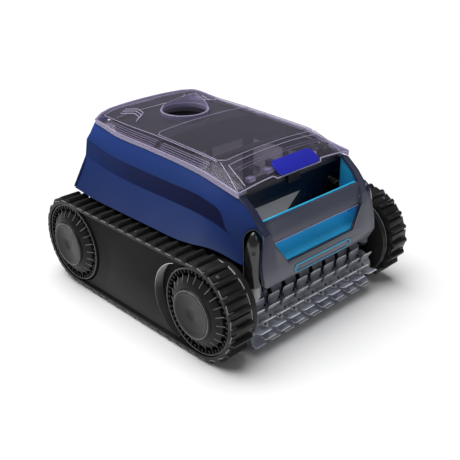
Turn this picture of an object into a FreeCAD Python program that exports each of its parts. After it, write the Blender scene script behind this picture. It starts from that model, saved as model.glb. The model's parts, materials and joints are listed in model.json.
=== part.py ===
"""Cordless tracked pool cleaner: every piece of the machine as its own solid.

Units are millimetres. +Z is up, the floor is z = 0, the origin is under the middle of the machine.
The front, with the brush and the two windows, faces -Y. Left is -X and right is +X.
"""

import FreeCAD
import Part
import math
import os

V = FreeCAD.Vector
X_AXIS = V(1, 0, 0)
Y_AXIS = V(0, 1, 0)
Z_AXIS = V(0, 0, 1)

# Running gear
AXLE_Y = 150.0                 # the wheel axles are at y = -150 and y = +150
LUG_R = 75.8                   # from an axle to the tip of a track lug
AXLE_Z = LUG_R                 # so the lugs stand on the floor
BELT_R = 69.0                  # outer face of the belt
BELT_IN_R = 64.6               # inner face of the belt
TRACK_OUT_X = 192.8
TRACK_IN_X = 154.5
LUG_COUNT = 48
WHEEL_R = 64.2
WHEEL_OUT_X = 190.0
WHEEL_IN_X = 153.0
SHAFT_R = 6.0
SHAFT_BORE_R = 6.05
CAP_R = 36.7
CONE_R = 52.0
RIB_COUNT = 24

# Brush and its drive: a pinion inside the toothed rim of the front left wheel
GEAR_MODULE = 2.0
RING_TEETH = 58
PINION_TEETH = 14
BRUSH_R = 39.0
BRUSH_CORE_R = 22.0
BRUSH_HALF = 134.0
BRUSH_SHAFT_R = 5.0
BRUSH_ROWS = 16
PADDLE_W = 21.0
PADDLE_PITCH = 30.0
GEAR_REACH = GEAR_MODULE * (RING_TEETH - PINION_TEETH) / 2
BRUSH_DROP = 35.6
BRUSH_Z = AXLE_Z - BRUSH_DROP
BRUSH_Y = -AXLE_Y - math.sqrt(GEAR_REACH ** 2 - BRUSH_DROP ** 2)

# Body
WALL = 3.0
THIN_EDGE = 0.5
TUB_X = 136.0
TUB_TOP = 156.0
TUB_REAR = 172.0
TUB_FLOOR = 16.0
NOSE_X = 104.0
FILTER_X = 88.0
FILTER_FRONT = -142.0
FILTER_REAR = 30.0
FILTER_FLOOR = 60.0
FILTER_STEP_Y = -124.0
FILTER_STEP_Z = 92.0
FILTER_TOP = 232.0
INLET_X = 70.0
INLET_FRONT = -85.0
INLET_REAR = -57.0
FASCIA_X = 114.0
OUTLET_Y = 84.5
OUTLET_R = 39.0
HINGE_Y = 186.0
HINGE_Z = 250.0
PIN_R = 2.0
RACK_PITCH = 5.0
LATCH_Y = -150.2
LATCH_Z = 231.2
LATCH_PIN_R = 1.5
POD_X = 119.4                  # the pods stand in recesses in the body's sides, behind the fascia's edges
POD_Y = -188.2
POD_R = 11.8
POD_LOW = 105.0
POD_TOP = 185.0
POD_BRACKET_Z = (129.0, 145.0)
POD_SCREW_Z = 160.0
MOTOR_BLOCK_X = 74.0
MOTOR_BLOCK_FRONT = 44.0
MOTOR_BLOCK_REAR = 160.0
MOTOR_BLOCK_TOP = 150.0

# Side shell sections, from the rear to the front: the y of the section, then x and z of its top edge,
# upper crease, lower crease and bottom edge.
SHELL_SECTIONS = (
    (176.0, (110.5, 253.0), (127.0, 228.0), (132.0, 202.0), (160.0, 154.5)),
    (115.0, (112.5, 241.5), (127.0, 216.0), (132.5, 191.0), (166.0, 154.5)),
    (45.0, (112.8, 239.5), (127.0, 212.5), (132.5, 187.0), (166.0, 154.0)),
    (-20.0, (112.8, 236.5), (127.0, 210.8), (132.5, 186.5), (166.0, 154.0)),
    (-80.0, (112.8, 231.5), (127.0, 210.0), (132.5, 185.5), (166.0, 154.0)),
    (-110.0, (112.8, 227.0), (127.0, 205.5), (132.3, 183.0), (161.0, 154.0)),
    (-132.0, (113.0, 223.5), (126.8, 197.0), (131.8, 179.5), (152.0, 153.0)),
    (-149.0, (114.2, 219.5), (125.5, 183.0), (130.8, 174.0), (147.0, 150.5)),
)
SHELL_NOSE = (
    (-149.0, (114.2, 219.5), (130.8, 174.0), (147.0, 150.5)),
    (-165.0, (114.7, 213.0), (129.6, 168.0), (142.5, 146.0)),
    (-178.0, (114.7, 203.0), (127.4, 164.0), (138.0, 141.0)),
    (-190.0, (114.7, 189.0), (123.5, 158.0), (130.0, 136.0)),
    (-199.0, (114.7, 174.0), (118.8, 150.0), (120.6, 132.0)),
)

# Lid sections, from the rear to the front: y, rim x, rim bottom z, rim top z, shoulder x and z, centre z.
LID_SECTIONS = (
    (183.0, 113.0, 255.0, 260.5, 98.0, 265.0, 268.5),
    (150.0, 113.4, 249.0, 256.0, 98.5, 263.5, 267.5),
    (113.0, 113.4, 242.5, 250.0, 98.5, 261.5, 266.0),
    (40.0, 113.4, 240.3, 247.0, 98.0, 260.0, 264.5),
    (-20.0, 113.4, 237.5, 244.5, 97.5, 258.0, 262.5),
    (-80.0, 113.6, 232.5, 241.0, 97.5, 255.0, 260.0),
    (-105.0, 114.4, 228.7, 237.5, 97.0, 252.0, 257.0),
    (-142.0, 116.0, 223.0, 231.0, 96.0, 238.5, 245.5),
    (-157.0, 116.9, 221.0, 228.6, 96.0, 230.0, 235.5),
)

# Fascia side profile, y and z of the outer face from the top down.
FASCIA_PROFILE = (
    (-158.0, 221.0), (-178.0, 205.0), (-190.0, 191.0), (-199.0, 176.0),
    (-203.5, 162.0), (-206.0, 141.0), (-210.0, 116.0), (-206.0, 102.5),
)


# ---------------------------------------------------------------- shape helpers

def box(x0, x1, y0, y1, z0, z1):
    """A box between two corners."""
    return Part.makeBox(x1 - x0, y1 - y0, z1 - z0, V(x0, y0, z0))


def rod_x(radius, x0, x1, y, z):
    """A round bar along X."""
    return Part.makeCylinder(radius, x1 - x0, V(x0, y, z), X_AXIS)


def rod_y(radius, y0, y1, x, z):
    """A round bar along Y."""
    return Part.makeCylinder(radius, y1 - y0, V(x, y0, z), Y_AXIS)


def rod_z(radius, z0, z1, x, y):
    """A round bar along Z."""
    return Part.makeCylinder(radius, z1 - z0, V(x, y, z0), Z_AXIS)


def prism(points, along):
    """A flat polygon pushed along a vector."""
    return Part.Face(Part.makePolygon(points + [points[0]])).extrude(along)


def prism_x(points, x0, x1):
    """A polygon of (y, z) points pushed from x0 to x1."""
    return prism([V(x0, y, z) for y, z in points], V(x1 - x0, 0, 0))


def prism_y(points, y0, y1):
    """A polygon of (x, z) points pushed from y0 to y1."""
    return prism([V(x, y0, z) for x, z in points], V(0, y1 - y0, 0))


def prism_z(points, z0, z1):
    """A polygon of (x, y) points pushed from z0 to z1."""
    return prism([V(x, y, z0) for x, y in points], V(0, 0, z1 - z0))


def turned_x(points, y, z):
    """A profile of (x, radius) points turned about an X axis through (y, z)."""
    corners = [V(x, y + r, z) for x, r in points]
    face = Part.Face(Part.makePolygon(corners + [corners[0]]))
    return face.revolve(V(0, y, z), X_AXIS, 360)


def turned_z(points, x, y):
    """A profile of (radius, z) points turned about a vertical axis through (x, y)."""
    corners = [V(x + r, y, z) for r, z in points]
    face = Part.Face(Part.makePolygon(corners + [corners[0]]))
    return face.revolve(V(x, y, 0), Z_AXIS, 360)


def stadium_x(radius, x0, x1):
    """A track-shaped block: two half rounds about the axles and the straight between them."""
    shape = box(x0, x1, -AXLE_Y, AXLE_Y, AXLE_Z - radius, AXLE_Z + radius)
    for y in (-AXLE_Y, AXLE_Y):
        shape = shape.fuse(rod_x(radius, x0, x1, y, AXLE_Z))
    return shape.removeSplitter()


def mirrored(shape):
    """The same piece on the other side of the machine."""
    return shape.mirror(V(0, 0, 0), X_AXIS)


def fused(shapes):
    """One solid from several that overlap."""
    return shapes[0].multiFuse(shapes[1:]).removeSplitter()


def lofted(sections):
    """A ruled skin through closed polygons with the same number of corners."""
    wires = [Part.makePolygon(s + [s[0]]) for s in sections]
    return Part.makeLoft(wires, True, True)


def save(name, shape):
    """Write one node."""
    if shape.Volume < 0:
        shape = shape.reversed()
    if not shape.isValid() or shape.Volume <= 0:
        raise ValueError("bad solid: " + name)
    shape.exportStep("parts/" + name + ".step")


def save_pair(name, left):
    """Write a piece and its mirror image."""
    save(name + "_left", left)
    save(name + "_right", mirrored(left))


# ---------------------------------------------------------------- running gear

def lug_place(index):
    """Where a lug sits: y and z of the belt's outer face there, and the angle its tip points at."""
    half_arc = math.pi * BELT_R
    run = 2 * AXLE_Y
    length = 2 * (run + half_arc)
    s = (index * length / LUG_COUNT + AXLE_Y) % length
    if s < run:
        return AXLE_Y - s, AXLE_Z + BELT_R, 90.0
    s -= run
    if s < half_arc:
        angle = math.pi / 2 + s / BELT_R
        return -AXLE_Y + BELT_R * math.cos(angle), AXLE_Z + BELT_R * math.sin(angle), math.degrees(angle)
    s -= half_arc
    if s < run:
        return -AXLE_Y + s, AXLE_Z - BELT_R, 270.0
    s -= run
    angle = 1.5 * math.pi + s / BELT_R
    return AXLE_Y + BELT_R * math.cos(angle), AXLE_Z + BELT_R * math.sin(angle), math.degrees(angle)


def track_lug():
    """One lug, its base on the XY plane and its tip up +Z, with a sloped outer end."""
    height = LUG_R - BELT_R
    bar = prism([V(-TRACK_OUT_X, -4.2, -1), V(-TRACK_OUT_X, 4.2, -1),
                 V(-TRACK_OUT_X, 2.2, height), V(-TRACK_OUT_X, -2.2, height)],
                V(TRACK_OUT_X - TRACK_IN_X, 0, 0))
    slope = prism([V(-TRACK_OUT_X - 1, -6, 1.2), V(-TRACK_OUT_X - 1, -6, height + 1),
                   V(-TRACK_OUT_X + 4.5, -6, height + 1)], V(0, 12, 0))
    return bar.cut(slope)


def track():
    """The left rubber track, lugs outward."""
    belt = stadium_x(BELT_R, -TRACK_OUT_X, -TRACK_IN_X)
    belt = belt.cut(stadium_x(BELT_IN_R, -TRACK_OUT_X - 1, -TRACK_IN_X + 1))
    lug = track_lug()
    lugs = []
    for index in range(LUG_COUNT):
        y, z, angle = lug_place(index)
        one = lug.copy()
        one.rotate(V(0, 0, 0), X_AXIS, angle - 90.0)
        one.translate(V(0, y, z))
        lugs.append(one)
    return belt.multiFuse(lugs)


def tooth_polygon(teeth, tip, root, thick, index, phase):
    """Corners of one trapezoid gear tooth, radii measured from the gear's centre."""
    middle = 2 * math.pi * (index + phase) / teeth
    tip_half = thick * 0.30 / tip
    root_half = thick * 0.62 / root
    return [(root, middle - root_half), (tip, middle - tip_half), (tip, middle + tip_half), (root, middle + root_half)]


def toothed(teeth, tip, root, phase, x0, x1, y, z):
    """All the teeth of a gear as bars along X."""
    thick = math.pi * GEAR_MODULE / 2 - 0.5
    bars = []
    for index in range(teeth):
        polar = tooth_polygon(teeth, tip, root, thick, index, phase)
        bars.append(prism_x([(y + r * math.cos(a), z + r * math.sin(a)) for r, a in polar], x0, x1))
    return bars


def mesh_angle():
    """Direction from the front axle to the brush axle, in turns."""
    return math.atan2(BRUSH_Z - AXLE_Z, BRUSH_Y + AXLE_Y) / (2 * math.pi)


def wheel(y, geared):
    """A left wheel: drum, web, spoked rim, cone ring and hub boss on one bore."""
    drum = turned_x([(-WHEEL_OUT_X, WHEEL_R - 0.8), (-WHEEL_OUT_X + 0.8, WHEEL_R), (-WHEEL_IN_X, WHEEL_R),
                     (-WHEEL_IN_X, 61.0), (-WHEEL_OUT_X, 61.0)], y, AXLE_Z)
    web = rod_x(61.4, -178.0, -174.0, y, AXLE_Z)
    seat = rod_x(CAP_R + 0.3, -190.4, -177.5, y, AXLE_Z)
    boss = rod_x(14.0, -175.0, -150.0, y, AXLE_Z)
    cone = turned_x([(-197.6, CAP_R + 0.2), (-197.2, 39.5), (-190.0, CONE_R - 0.6), (-188.0, CONE_R),
                     (-177.5, CONE_R), (-177.5, CAP_R)], y, AXLE_Z)
    pieces = [drum, web, seat, boss, cone]
    for index in range(RIB_COUNT):
        rib = box(-188.6, -177.0, -0.9, 0.9, CONE_R - 6.0, 61.5)
        rib.rotate(V(0, 0, 0), X_AXIS, index * 360.0 / RIB_COUNT)
        rib.translate(V(0, y, AXLE_Z))
        pieces.append(rib)
    if geared:
        phase = mesh_angle() * RING_TEETH + 0.5
        pitch_r = GEAR_MODULE * RING_TEETH / 2
        pieces += toothed(RING_TEETH, pitch_r - 1.7, 61.4, phase, -166.0, -WHEEL_IN_X, y, AXLE_Z)
    solid = fused(pieces)
    return solid.cut(rod_x(SHAFT_BORE_R, -186.0, -149.0, y, AXLE_Z))


def hub_cap(y):
    """The smooth round cap at the middle of a left wheel, with a raised rim and a dimple."""
    return turned_x([(-190.5, 0), (-190.5, CAP_R), (-199.4, CAP_R), (-201.2, 35.2), (-201.8, 32.8),
                     (-201.3, 29.8), (-199.9, 27.0), (-199.9, 10.5), (-199.0, 8.4), (-197.9, 5.0),
                     (-197.5, 0)], y, AXLE_Z)


def drive_shaft():
    """Steel shaft that turns with the rear left wheel."""
    return rod_x(SHAFT_R, -185.5, -128.0, AXLE_Y, AXLE_Z)


def front_stub_axles():
    """The two fixed axles that the front wheels run on."""
    left = rod_x(SHAFT_R, -185.5, -TUB_X - 0.1, -AXLE_Y, AXLE_Z)
    return Part.makeCompound([left, mirrored(left)])


def axle_bushes():
    """Plastic bushes in the tub wall for the two driven shafts."""
    outer = rod_x(10.9, -TUB_X - 8.0, -TUB_X + WALL + 0.5, AXLE_Y, AXLE_Z)
    left = outer.cut(rod_x(SHAFT_BORE_R, -TUB_X - 9.0, -TUB_X + WALL + 1.0, AXLE_Y, AXLE_Z))
    return Part.makeCompound([left, mirrored(left)])


def drive_guard():
    """Left guard: a dished disc behind the front wheel, with the brush bearing in it."""
    lip = rod_x(65.4, -149.5, -139.7, -AXLE_Y, AXLE_Z).cut(rod_x(62.6, -150.0, -142.7, -AXLE_Y, AXLE_Z))
    lip = lip.fuse(rod_x(20.0, -140.0, -TUB_X - 0.1, -AXLE_Y, AXLE_Z))
    lip = lip.cut(rod_x(SHAFT_R + 0.05, -150.0, -TUB_X + 1, -AXLE_Y, AXLE_Z))
    return lip.cut(rod_x(9.0, -150.0, -TUB_X + 1, BRUSH_Y, BRUSH_Z))


def side_cover():
    """Left cover inside the track loop, with a shallow round recess beside each wheel."""
    block = stadium_x(BELT_IN_R - 1.0, -187.0, -157.0)
    for sign in (-1, 1):
        block = block.cut(rod_x(66.6, -188.0, -156.0, sign * AXLE_Y, AXLE_Z))
        block = block.cut(rod_x(61.0, -188.0, -173.0, sign * 117.5, AXLE_Z - 4.0))
    block = block.cut(box(-184.0, -150.0, -48.0, 48.0, AXLE_Z - 58.0, AXLE_Z + 58.0))
    posts = [box(-184.5, -TUB_X - 0.1, y - 5, y + 5, z - 5, z + 5) for y in (-40, 40) for z in (40, 112)]
    return fused([block] + posts)


# ---------------------------------------------------------------- brush

def brush_core():
    """Hollow tube that carries the paddles, with drain holes."""
    tube = rod_x(BRUSH_CORE_R, -BRUSH_HALF, BRUSH_HALF, BRUSH_Y, BRUSH_Z)
    tube = tube.cut(rod_x(BRUSH_CORE_R - 3.0, -BRUSH_HALF + 3, BRUSH_HALF - 3, BRUSH_Y, BRUSH_Z))
    return tube.cut(rod_x(BRUSH_SHAFT_R, -BRUSH_HALF - 1, BRUSH_HALF + 1, BRUSH_Y, BRUSH_Z))


def brush_shaft():
    """Steel shaft through the brush, long enough to reach the pinion."""
    return rod_x(BRUSH_SHAFT_R, -165.5, 148.0, BRUSH_Y, BRUSH_Z)


def brush_paddles():
    """Rows of rubber paddles, every other row shifted by half a pitch."""
    paddles = []
    for row in range(BRUSH_ROWS):
        start = -120.0 if row % 2 else -132.0
        while start + PADDLE_W <= BRUSH_HALF:
            root = box(start + 1.5, start + PADDLE_W - 1.5, -1.6, 1.6, BRUSH_CORE_R - 1.0, 30.0)
            blade = box(start, start + PADDLE_W, -1.1, 1.1, 26.0, BRUSH_R)
            paddle = root.fuse(blade)
            paddle.rotate(V(0, 0, 0), X_AXIS, row * 360.0 / BRUSH_ROWS)
            paddle.translate(V(0, BRUSH_Y, BRUSH_Z))
            paddles.append(paddle)
            start += PADDLE_PITCH
    return Part.makeCompound(paddles)


def brush_pinion():
    """Pinion on the brush shaft, in mesh with the teeth inside the front left wheel."""
    pitch_r = GEAR_MODULE * PINION_TEETH / 2
    phase = mesh_angle() * PINION_TEETH
    body = rod_x(pitch_r - 2.3, -165.0, -154.0, BRUSH_Y, BRUSH_Z)
    teeth = toothed(PINION_TEETH, pitch_r + 1.6, pitch_r - 2.6, phase, -165.0, -154.0, BRUSH_Y, BRUSH_Z)
    return fused([body] + teeth).cut(rod_x(BRUSH_SHAFT_R, -166.0, -153.0, BRUSH_Y, BRUSH_Z))


def brush_bearings():
    """Flanged bearings in the two guards."""
    outer = rod_x(8.9, -145.5, -138.0, BRUSH_Y, BRUSH_Z)
    left = outer.cut(rod_x(BRUSH_SHAFT_R + 0.05, -146.0, -137.0, BRUSH_Y, BRUSH_Z))
    return Part.makeCompound([left, mirrored(left)])


# ---------------------------------------------------------------- body

def corner_chamfers(grow):
    """Triangles in x and z that take off the tub's two lower corners; grow moves their faces inward."""
    left = [(-TUB_X - 1, TUB_FLOOR - 1), (-TUB_X + 14 + grow, TUB_FLOOR - 1), (-TUB_X - 1, TUB_FLOOR + 14 + grow)]
    return left, [(-x, z) for x, z in left]


def chassis_tub():
    """Lower hull: an open tub with a recess for the brush, a suction inlet and side flanges."""
    outer = prism_x([(TUB_REAR, TUB_FLOOR), (TUB_REAR, TUB_TOP), (-150, TUB_TOP), (-150, 118), (-192, 118),
                     (-192, 90), (-180, 85), (-132, 85), (-132, TUB_FLOOR)], -TUB_X, TUB_X)
    inner = prism_x([(TUB_REAR - WALL, TUB_FLOOR + WALL), (TUB_REAR - WALL, TUB_TOP + 1), (-147, TUB_TOP + 1),
                     (-147, 88), (-129, 88), (-129, TUB_FLOOR + WALL)], -TUB_X + WALL, TUB_X - WALL)
    nose = prism_x([(-146, 115), (-189, 115), (-189, 93), (-180, 88), (-146, 88)], -NOSE_X + WALL, NOSE_X - WALL)
    for points in corner_chamfers(WALL * math.sqrt(2)):
        inner = inner.cut(prism_y(points, -60.0 - WALL, TUB_REAR + 1))
    tub = outer.cut(inner).cut(nose)
    for x0, x1 in ((-TUB_X - 1, -NOSE_X), (NOSE_X, TUB_X + 1)):
        tub = tub.cut(box(x0, x1, -193.0, -171.5, 84.0, 119.0))
    for sign in (-1, 1):
        flange = [(TUB_X - 1, -78.0), (159.2, -78.0), (159.2, 100.0), (152.6, TUB_REAR), (TUB_X - 1, TUB_REAR)]
        tub = tub.fuse(prism_z([(sign * x, y) for x, y in flange], 153.0, TUB_TOP))
        low, high = sorted((sign * (TUB_X - WALL - 1), sign * (TUB_X + 8)))
        boss = rod_x(15.0, min(sign * TUB_X, sign * (TUB_X + 7.9)), max(sign * TUB_X, sign * (TUB_X + 7.9)),
                     AXLE_Y, AXLE_Z)
        tub = tub.fuse(boss).cut(rod_x(11.0, low, high, AXLE_Y, AXLE_Z))
    collar = box(-INLET_X - 6, INLET_X + 6, INLET_FRONT - 4, INLET_REAR + 4, TUB_FLOOR, FILTER_FLOOR - 2)
    tub = tub.fuse(collar)
    tub = tub.cut(box(-INLET_X - 3, INLET_X + 3, INLET_FRONT - 1, INLET_REAR + 1, TUB_FLOOR - 1, FILTER_FLOOR))
    for points in corner_chamfers(0.0):
        tub = tub.cut(prism_y(points, -60.0, TUB_REAR + 1))
    return tub.removeSplitter()


def shell_section(y, points, inset):
    """One closed polygon of a left side shell: the outer points, then those points moved inward.

    inset is the wall at the top edge; everywhere else the wall is WALL.
    """
    outer = [V(-x, y, z) for x, z in points]
    walls = [inset] + [WALL] * (len(points) - 1)
    inner = [V(-x + wall, y, z) for (x, z), wall in zip(points, walls)]
    return outer + inner[::-1]


def side_shell():
    """Left upper shell with two creases that run together at the front corner."""
    edge_walls = [WALL] * (len(SHELL_SECTIONS) - 1) + [THIN_EDGE]
    body = lofted([shell_section(s[0], s[1:], edge) for s, edge in zip(SHELL_SECTIONS, edge_walls)])
    nose = lofted([shell_section(s[0], s[1:], THIN_EDGE) for s in SHELL_NOSE])
    return fused([body, nose]).cut(pod_space(POD_R + 3.2))


def rear_outline(grow):
    """Outline of the rear panel in x and z: it matches the ends of the two side shells."""
    top, upper, lower, bottom = SHELL_SECTIONS[0][1:]
    half = [(top[0] - grow, top[1] - 7.0), (upper[0] - grow, upper[1]), (lower[0] - grow, lower[1]),
            (bottom[0] - grow, bottom[1] + 1.6)]
    return [(-x, z) for x, z in half] + [(x, z) for x, z in reversed(half)]


def rear_shell():
    """Rear panel between the side shells, with seats for the charge port, the button and the hinge."""
    plate = prism_y(rear_outline(0.0), 176.3, 179.5)
    apron = box(-TUB_X + 2, TUB_X - 2, 172.4, 176.4, 60.0, 158.0)
    plate = plate.fuse(apron)
    for x in (-88.0, 88.0):
        arm = prism_x([(176.4, 238.0), (HINGE_Y, HINGE_Z - 4.4), (HINGE_Y + 3.0, HINGE_Z - 3.2),
                       (HINGE_Y + 3.0, HINGE_Z + 3.2), (HINGE_Y - 3.2, HINGE_Z + 3.0), (179.0, 244.0),
                       (176.4, 244.0)], x - 5.0, x + 5.0)
        plate = plate.fuse(arm).fuse(rod_x(4.5, x - 5.0, x + 5.0, HINGE_Y, HINGE_Z))
        plate = plate.cut(rod_x(PIN_R, x - 6.0, x + 6.0, HINGE_Y, HINGE_Z))
    plate = plate.cut(rod_y(9.4, 170.0, 182.0, 52.0, 214.0))
    return plate.cut(rod_y(11.2, 170.0, 182.0, -52.0, 214.0))


def fascia_skin(x_half, inset):
    """The fascia's curved slab between its outer face and a face inset from it."""
    outer = [(y, z) for y, z in FASCIA_PROFILE]
    inner = [(y + inset, z) for y, z in reversed(FASCIA_PROFILE)]
    return prism_x(outer + inner, -x_half, x_half)


def front_view_cut(points):
    """A prism through the fascia from the front, for a polygon of (x, z) points."""
    return prism_y(points, -230.0, -120.0)


FASCIA_WIDEST = 122.0
FASCIA_WING_Y = -199.6         # the wings beside the pods stay in front of this plane
FASCIA_HALF = ((113.7, 222.0), (113.7, 190.0), (114.6, 174.0), (118.0, 158.0), (121.0, 142.0), (121.6, 128.0),
               (120.2, 114.0), (116.5, 106.0), (110.0, 102.0))
UPPER_WINDOW = ((-104.0, 232.0), (-101.5, 190.5), (101.5, 190.5), (104.0, 232.0))
LOWER_WINDOW = ((-93.5, 160.5), (-69.5, 127.0), (69.5, 127.0), (93.5, 160.5))


def front_fascia():
    """Front panel: two pillars, a bottom band and the rail between the windows."""
    outline = [(-x, z) for x, z in FASCIA_HALF] + [(x, z) for x, z in reversed(FASCIA_HALF)]
    skin = fascia_skin(FASCIA_WIDEST, 6.5).common(front_view_cut(outline))
    for low, high in ((-FASCIA_WIDEST - 1, -FASCIA_X), (FASCIA_X, FASCIA_WIDEST + 1)):
        skin = skin.cut(box(low, high, FASCIA_WING_Y, -120.0, 90.0, 240.0))
    skin = skin.cut(front_view_cut(list(UPPER_WINDOW)))
    skin = skin.cut(front_view_cut([(-101.5, 191.0), (-93.5, 160.0), (93.5, 160.0), (101.5, 191.0)]))
    skin = skin.cut(front_view_cut(list(LOWER_WINDOW)))
    skin = skin.cut(box(-60.5, 60.5, -214.0, -207.6, 110.2, 119.6))
    rail = prism_x([(-188.5, 190.0), (-190.6, 188.0), (-197.8, 163.0), (-197.0, 159.4), (-189.5, 159.4),
                    (-187.0, 163.0), (-181.5, 187.0), (-183.0, 190.0)], -105.5, 105.5)
    side = [(-106.0, 158.0), (-94.2, 158.0), (-102.2, 192.0), (-106.0, 192.0)]
    for points in (side, [(-x, z) for x, z in side]):
        rail = rail.cut(front_view_cut(points))
    ends = []
    for sign in (-1, 1):
        low, high = sorted((sign * 99.5, sign * 104.8))
        ends.append(prism_x([(-199.5, 176.0), (-189.0, 190.0), (-182.5, 188.0), (-192.0, 164.0), (-197.0, 163.0)],
                            low, high))
        low, high = sorted((sign * 93.0, sign * 104.0))
        ends.append(prism_x([(-198.0, 172.0), (-191.0, 172.0), (-194.0, 160.0), (-199.0, 160.0)], low, high))
    fascia = fused([skin, rail] + ends)
    space = pod_space(POD_R + 0.8)
    return fascia.cut(space).cut(mirrored(space))


def rail_lip():
    """Bright trim on the rear top edge of the carrying rail."""
    return prism_x([(-182.8, 190.2), (-185.8, 190.2), (-185.4, 191.6), (-182.8, 191.6)], -98.0, 98.0)


def fascia_strip():
    """Thin trim plate set in the fascia under the lower window."""
    return box(-60.0, 60.0, -209.2, -207.9, 110.7, 119.1)


def front_liner():
    """Coloured liner of the carrying pocket: two side cheeks, a sloped floor and a low back."""
    floor = prism_x([(-198.0, 123.8), (-152.0, 152.0), (-152.0, 155.0), (-199.0, 126.2)], -96.0, 96.0)
    cheeks = []
    for sign in (-1, 1):
        points = [(sign * 96.0, 124.6), (sign * 108.6, 162.0), (sign * 108.6, 226.0), (sign * 105.6, 226.0),
                  (sign * 105.6, 163.0), (sign * 92.5, 127.0)]
        slab = prism_y(points, -199.0, -150.5)
        trim = prism_x([(-230.0, 100.0), (-230.0, 240.0), (-150.9, 240.0), (-150.9, 221.4), (-170.3, 205.6),
                        (-182.3, 191.6), (-192.0, 176.4), (-196.5, 162.2), (-199.0, 141.0), (-199.0, 120.0)],
                       -120.0, 120.0)
        cheeks.append(slab.cut(trim))
    space = pod_space(POD_R + 0.8)
    return fused([floor] + cheeks).cut(space).cut(mirrored(space))


def deck_frame():
    """Dark frame under the lid: side rails, a front bar and a rear deck round the outlet duct."""
    rails = []
    for sign in (-1, 1):
        low, high = sorted((sign * 95.0, sign * 108.5))
        rails.append(box(low, high, -146.5, 167.0, 221.0, 224.0))
        low, high = sorted((sign * 95.0, sign * 97.5))
        rails.append(box(low, high, -112.0, 158.0, 221.0, 238.0))
    rails.append(box(-108.5, 108.5, -146.5, -142.8, 214.0, 224.0))
    for sign in (-1, 1):
        low, high = sorted((sign * 92.0, sign * 95.0))
        rails.append(box(low, high, 36.0, 161.0, 221.0, 249.0))
    rails.append(box(-95.0, 95.0, 34.0, 37.0, 150.8, 248.5))
    hood = []
    for y, middle, edge in ((34.0, 253.5, 249.5), (113.0, 255.5, 251.0), (166.0, 257.0, 253.0)):
        half = [(95.0, edge - WALL), (95.0, edge), (45.0, middle - 0.6)]
        top = [V(-x, y, z) for x, z in half] + [V(0, y, middle)] + [V(x, y, z) for x, z in reversed(half)]
        hood.append(top + [V(45.0, y, middle - 0.6 - WALL), V(0, y, middle - WALL), V(-45.0, y, middle - 0.6 - WALL)])
    frame = fused(rails + [lofted(hood)])
    return frame.cut(rod_z(35.6, 200.0, 262.0, 0.0, OUTLET_Y))


def lid_seal():
    """Rubber gasket that lies on the deck frame's rails."""
    outer = box(-104.5, 104.5, -146.3, 165.5, 224.2, 227.0)
    return outer.cut(box(-100.5, 100.5, -142.9, 161.5, 223.0, 228.0))


def pod_space(radius):
    """An upright round-topped bar on the left pod's axis, used to make room for the pod."""
    shoulder = POD_TOP - POD_R
    rod = rod_z(radius, 72.0, shoulder, -POD_X, POD_Y)
    return fused([rod, Part.makeSphere(radius, V(-POD_X, POD_Y, shoulder))])


def pod_screw(radius, start, end):
    """A round bar that points out of the left pod's face, from start to end short of the pod's axis."""
    outward = V(-1, -1, 0).normalize()
    base = V(-POD_X, POD_Y, POD_SCREW_Z) + outward * start
    return Part.makeCylinder(radius, end - start, base, outward)


def corner_pod():
    """Left glossy bumper pod at the front corner: a long bullet shape with a screw in its face."""
    pod = turned_z([(0, POD_LOW), (11.2, POD_LOW), (POD_R, 114.0), (POD_R, 142.0), (11.3, 152.0), (10.3, 161.0),
                    (8.7, 169.0), (6.5, 176.0), (3.8, 181.5), (0, POD_TOP)], -POD_X, POD_Y)
    pod = pod.cut(pod_screw(2.4, 6.4, 14.0))
    low, high = POD_BRACKET_Z
    bracket = box(-POD_X - 4, -POD_X + 4, POD_Y + POD_R - 2.0, POD_Y + POD_R + 2.4, low, high)
    return pod.fuse(bracket)


def pod_tips():
    """Pale tapered feet of the two pods."""
    left = turned_z([(0, 80.2), (5.0, 80.2), (8.6, 84.5), (10.8, 94.0), (11.2, POD_LOW), (0, POD_LOW)], -POD_X, POD_Y)
    return Part.makeCompound([left, mirrored(left)])


def screws():
    """Pan-head screws: one in the face of each pod and four in the rear panel."""
    left = pod_screw(2.2, 6.5, 8.8)
    heads = [left, mirrored(left)]
    for x in (-118.0, 118.0):
        heads += [rod_y(3.6, 179.6, 181.6, x, z) for z in (168.0, 208.0)]
    return Part.makeCompound(heads)


def pod_cradles():
    """Dark troughs behind the pods: they close the recesses in the body's sides."""
    ring = pod_space(POD_R + 2.8).cut(pod_space(POD_R + 0.8))
    low, high = POD_BRACKET_Z
    for block in (box(-160.0, -POD_X - 4.0, -230.0, -150.0, 60.0, 220.0),
                  box(-150.0, -90.0, -230.0, POD_Y - 2.0, 60.0, 220.0),
                  box(-109.0, -90.0, -230.0, -150.0, 60.0, 220.0),
                  box(-150.0, -90.0, -230.0, -150.0, 172.0, 220.0),
                  box(-150.0, -90.0, -230.0, -150.0, 60.0, 86.0),
                  box(-POD_X - 5, -POD_X + 5, POD_Y, -150.0, low - 1.0, high + 1.0)):
        ring = ring.cut(block)
    return Part.makeCompound([ring, mirrored(ring)])


def motor_block():
    """Sealed box for the motors, the battery and the electronics."""
    outer = box(-MOTOR_BLOCK_X, MOTOR_BLOCK_X, MOTOR_BLOCK_FRONT, MOTOR_BLOCK_REAR, 22.0, 144.0)
    inner = box(-MOTOR_BLOCK_X + WALL, MOTOR_BLOCK_X - WALL, MOTOR_BLOCK_FRONT + WALL, MOTOR_BLOCK_REAR - WALL,
                22.0 + WALL, 145.0)
    return outer.cut(inner)


def motor_block_cover():
    """Lid of the sealed box, with a hole for the impeller shaft."""
    plate = box(-MOTOR_BLOCK_X, MOTOR_BLOCK_X, MOTOR_BLOCK_FRONT, MOTOR_BLOCK_REAR, 144.2, 148.0)
    return plate.cut(rod_z(3.05, 140.0, 150.0, 0.0, OUTLET_Y))


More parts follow.
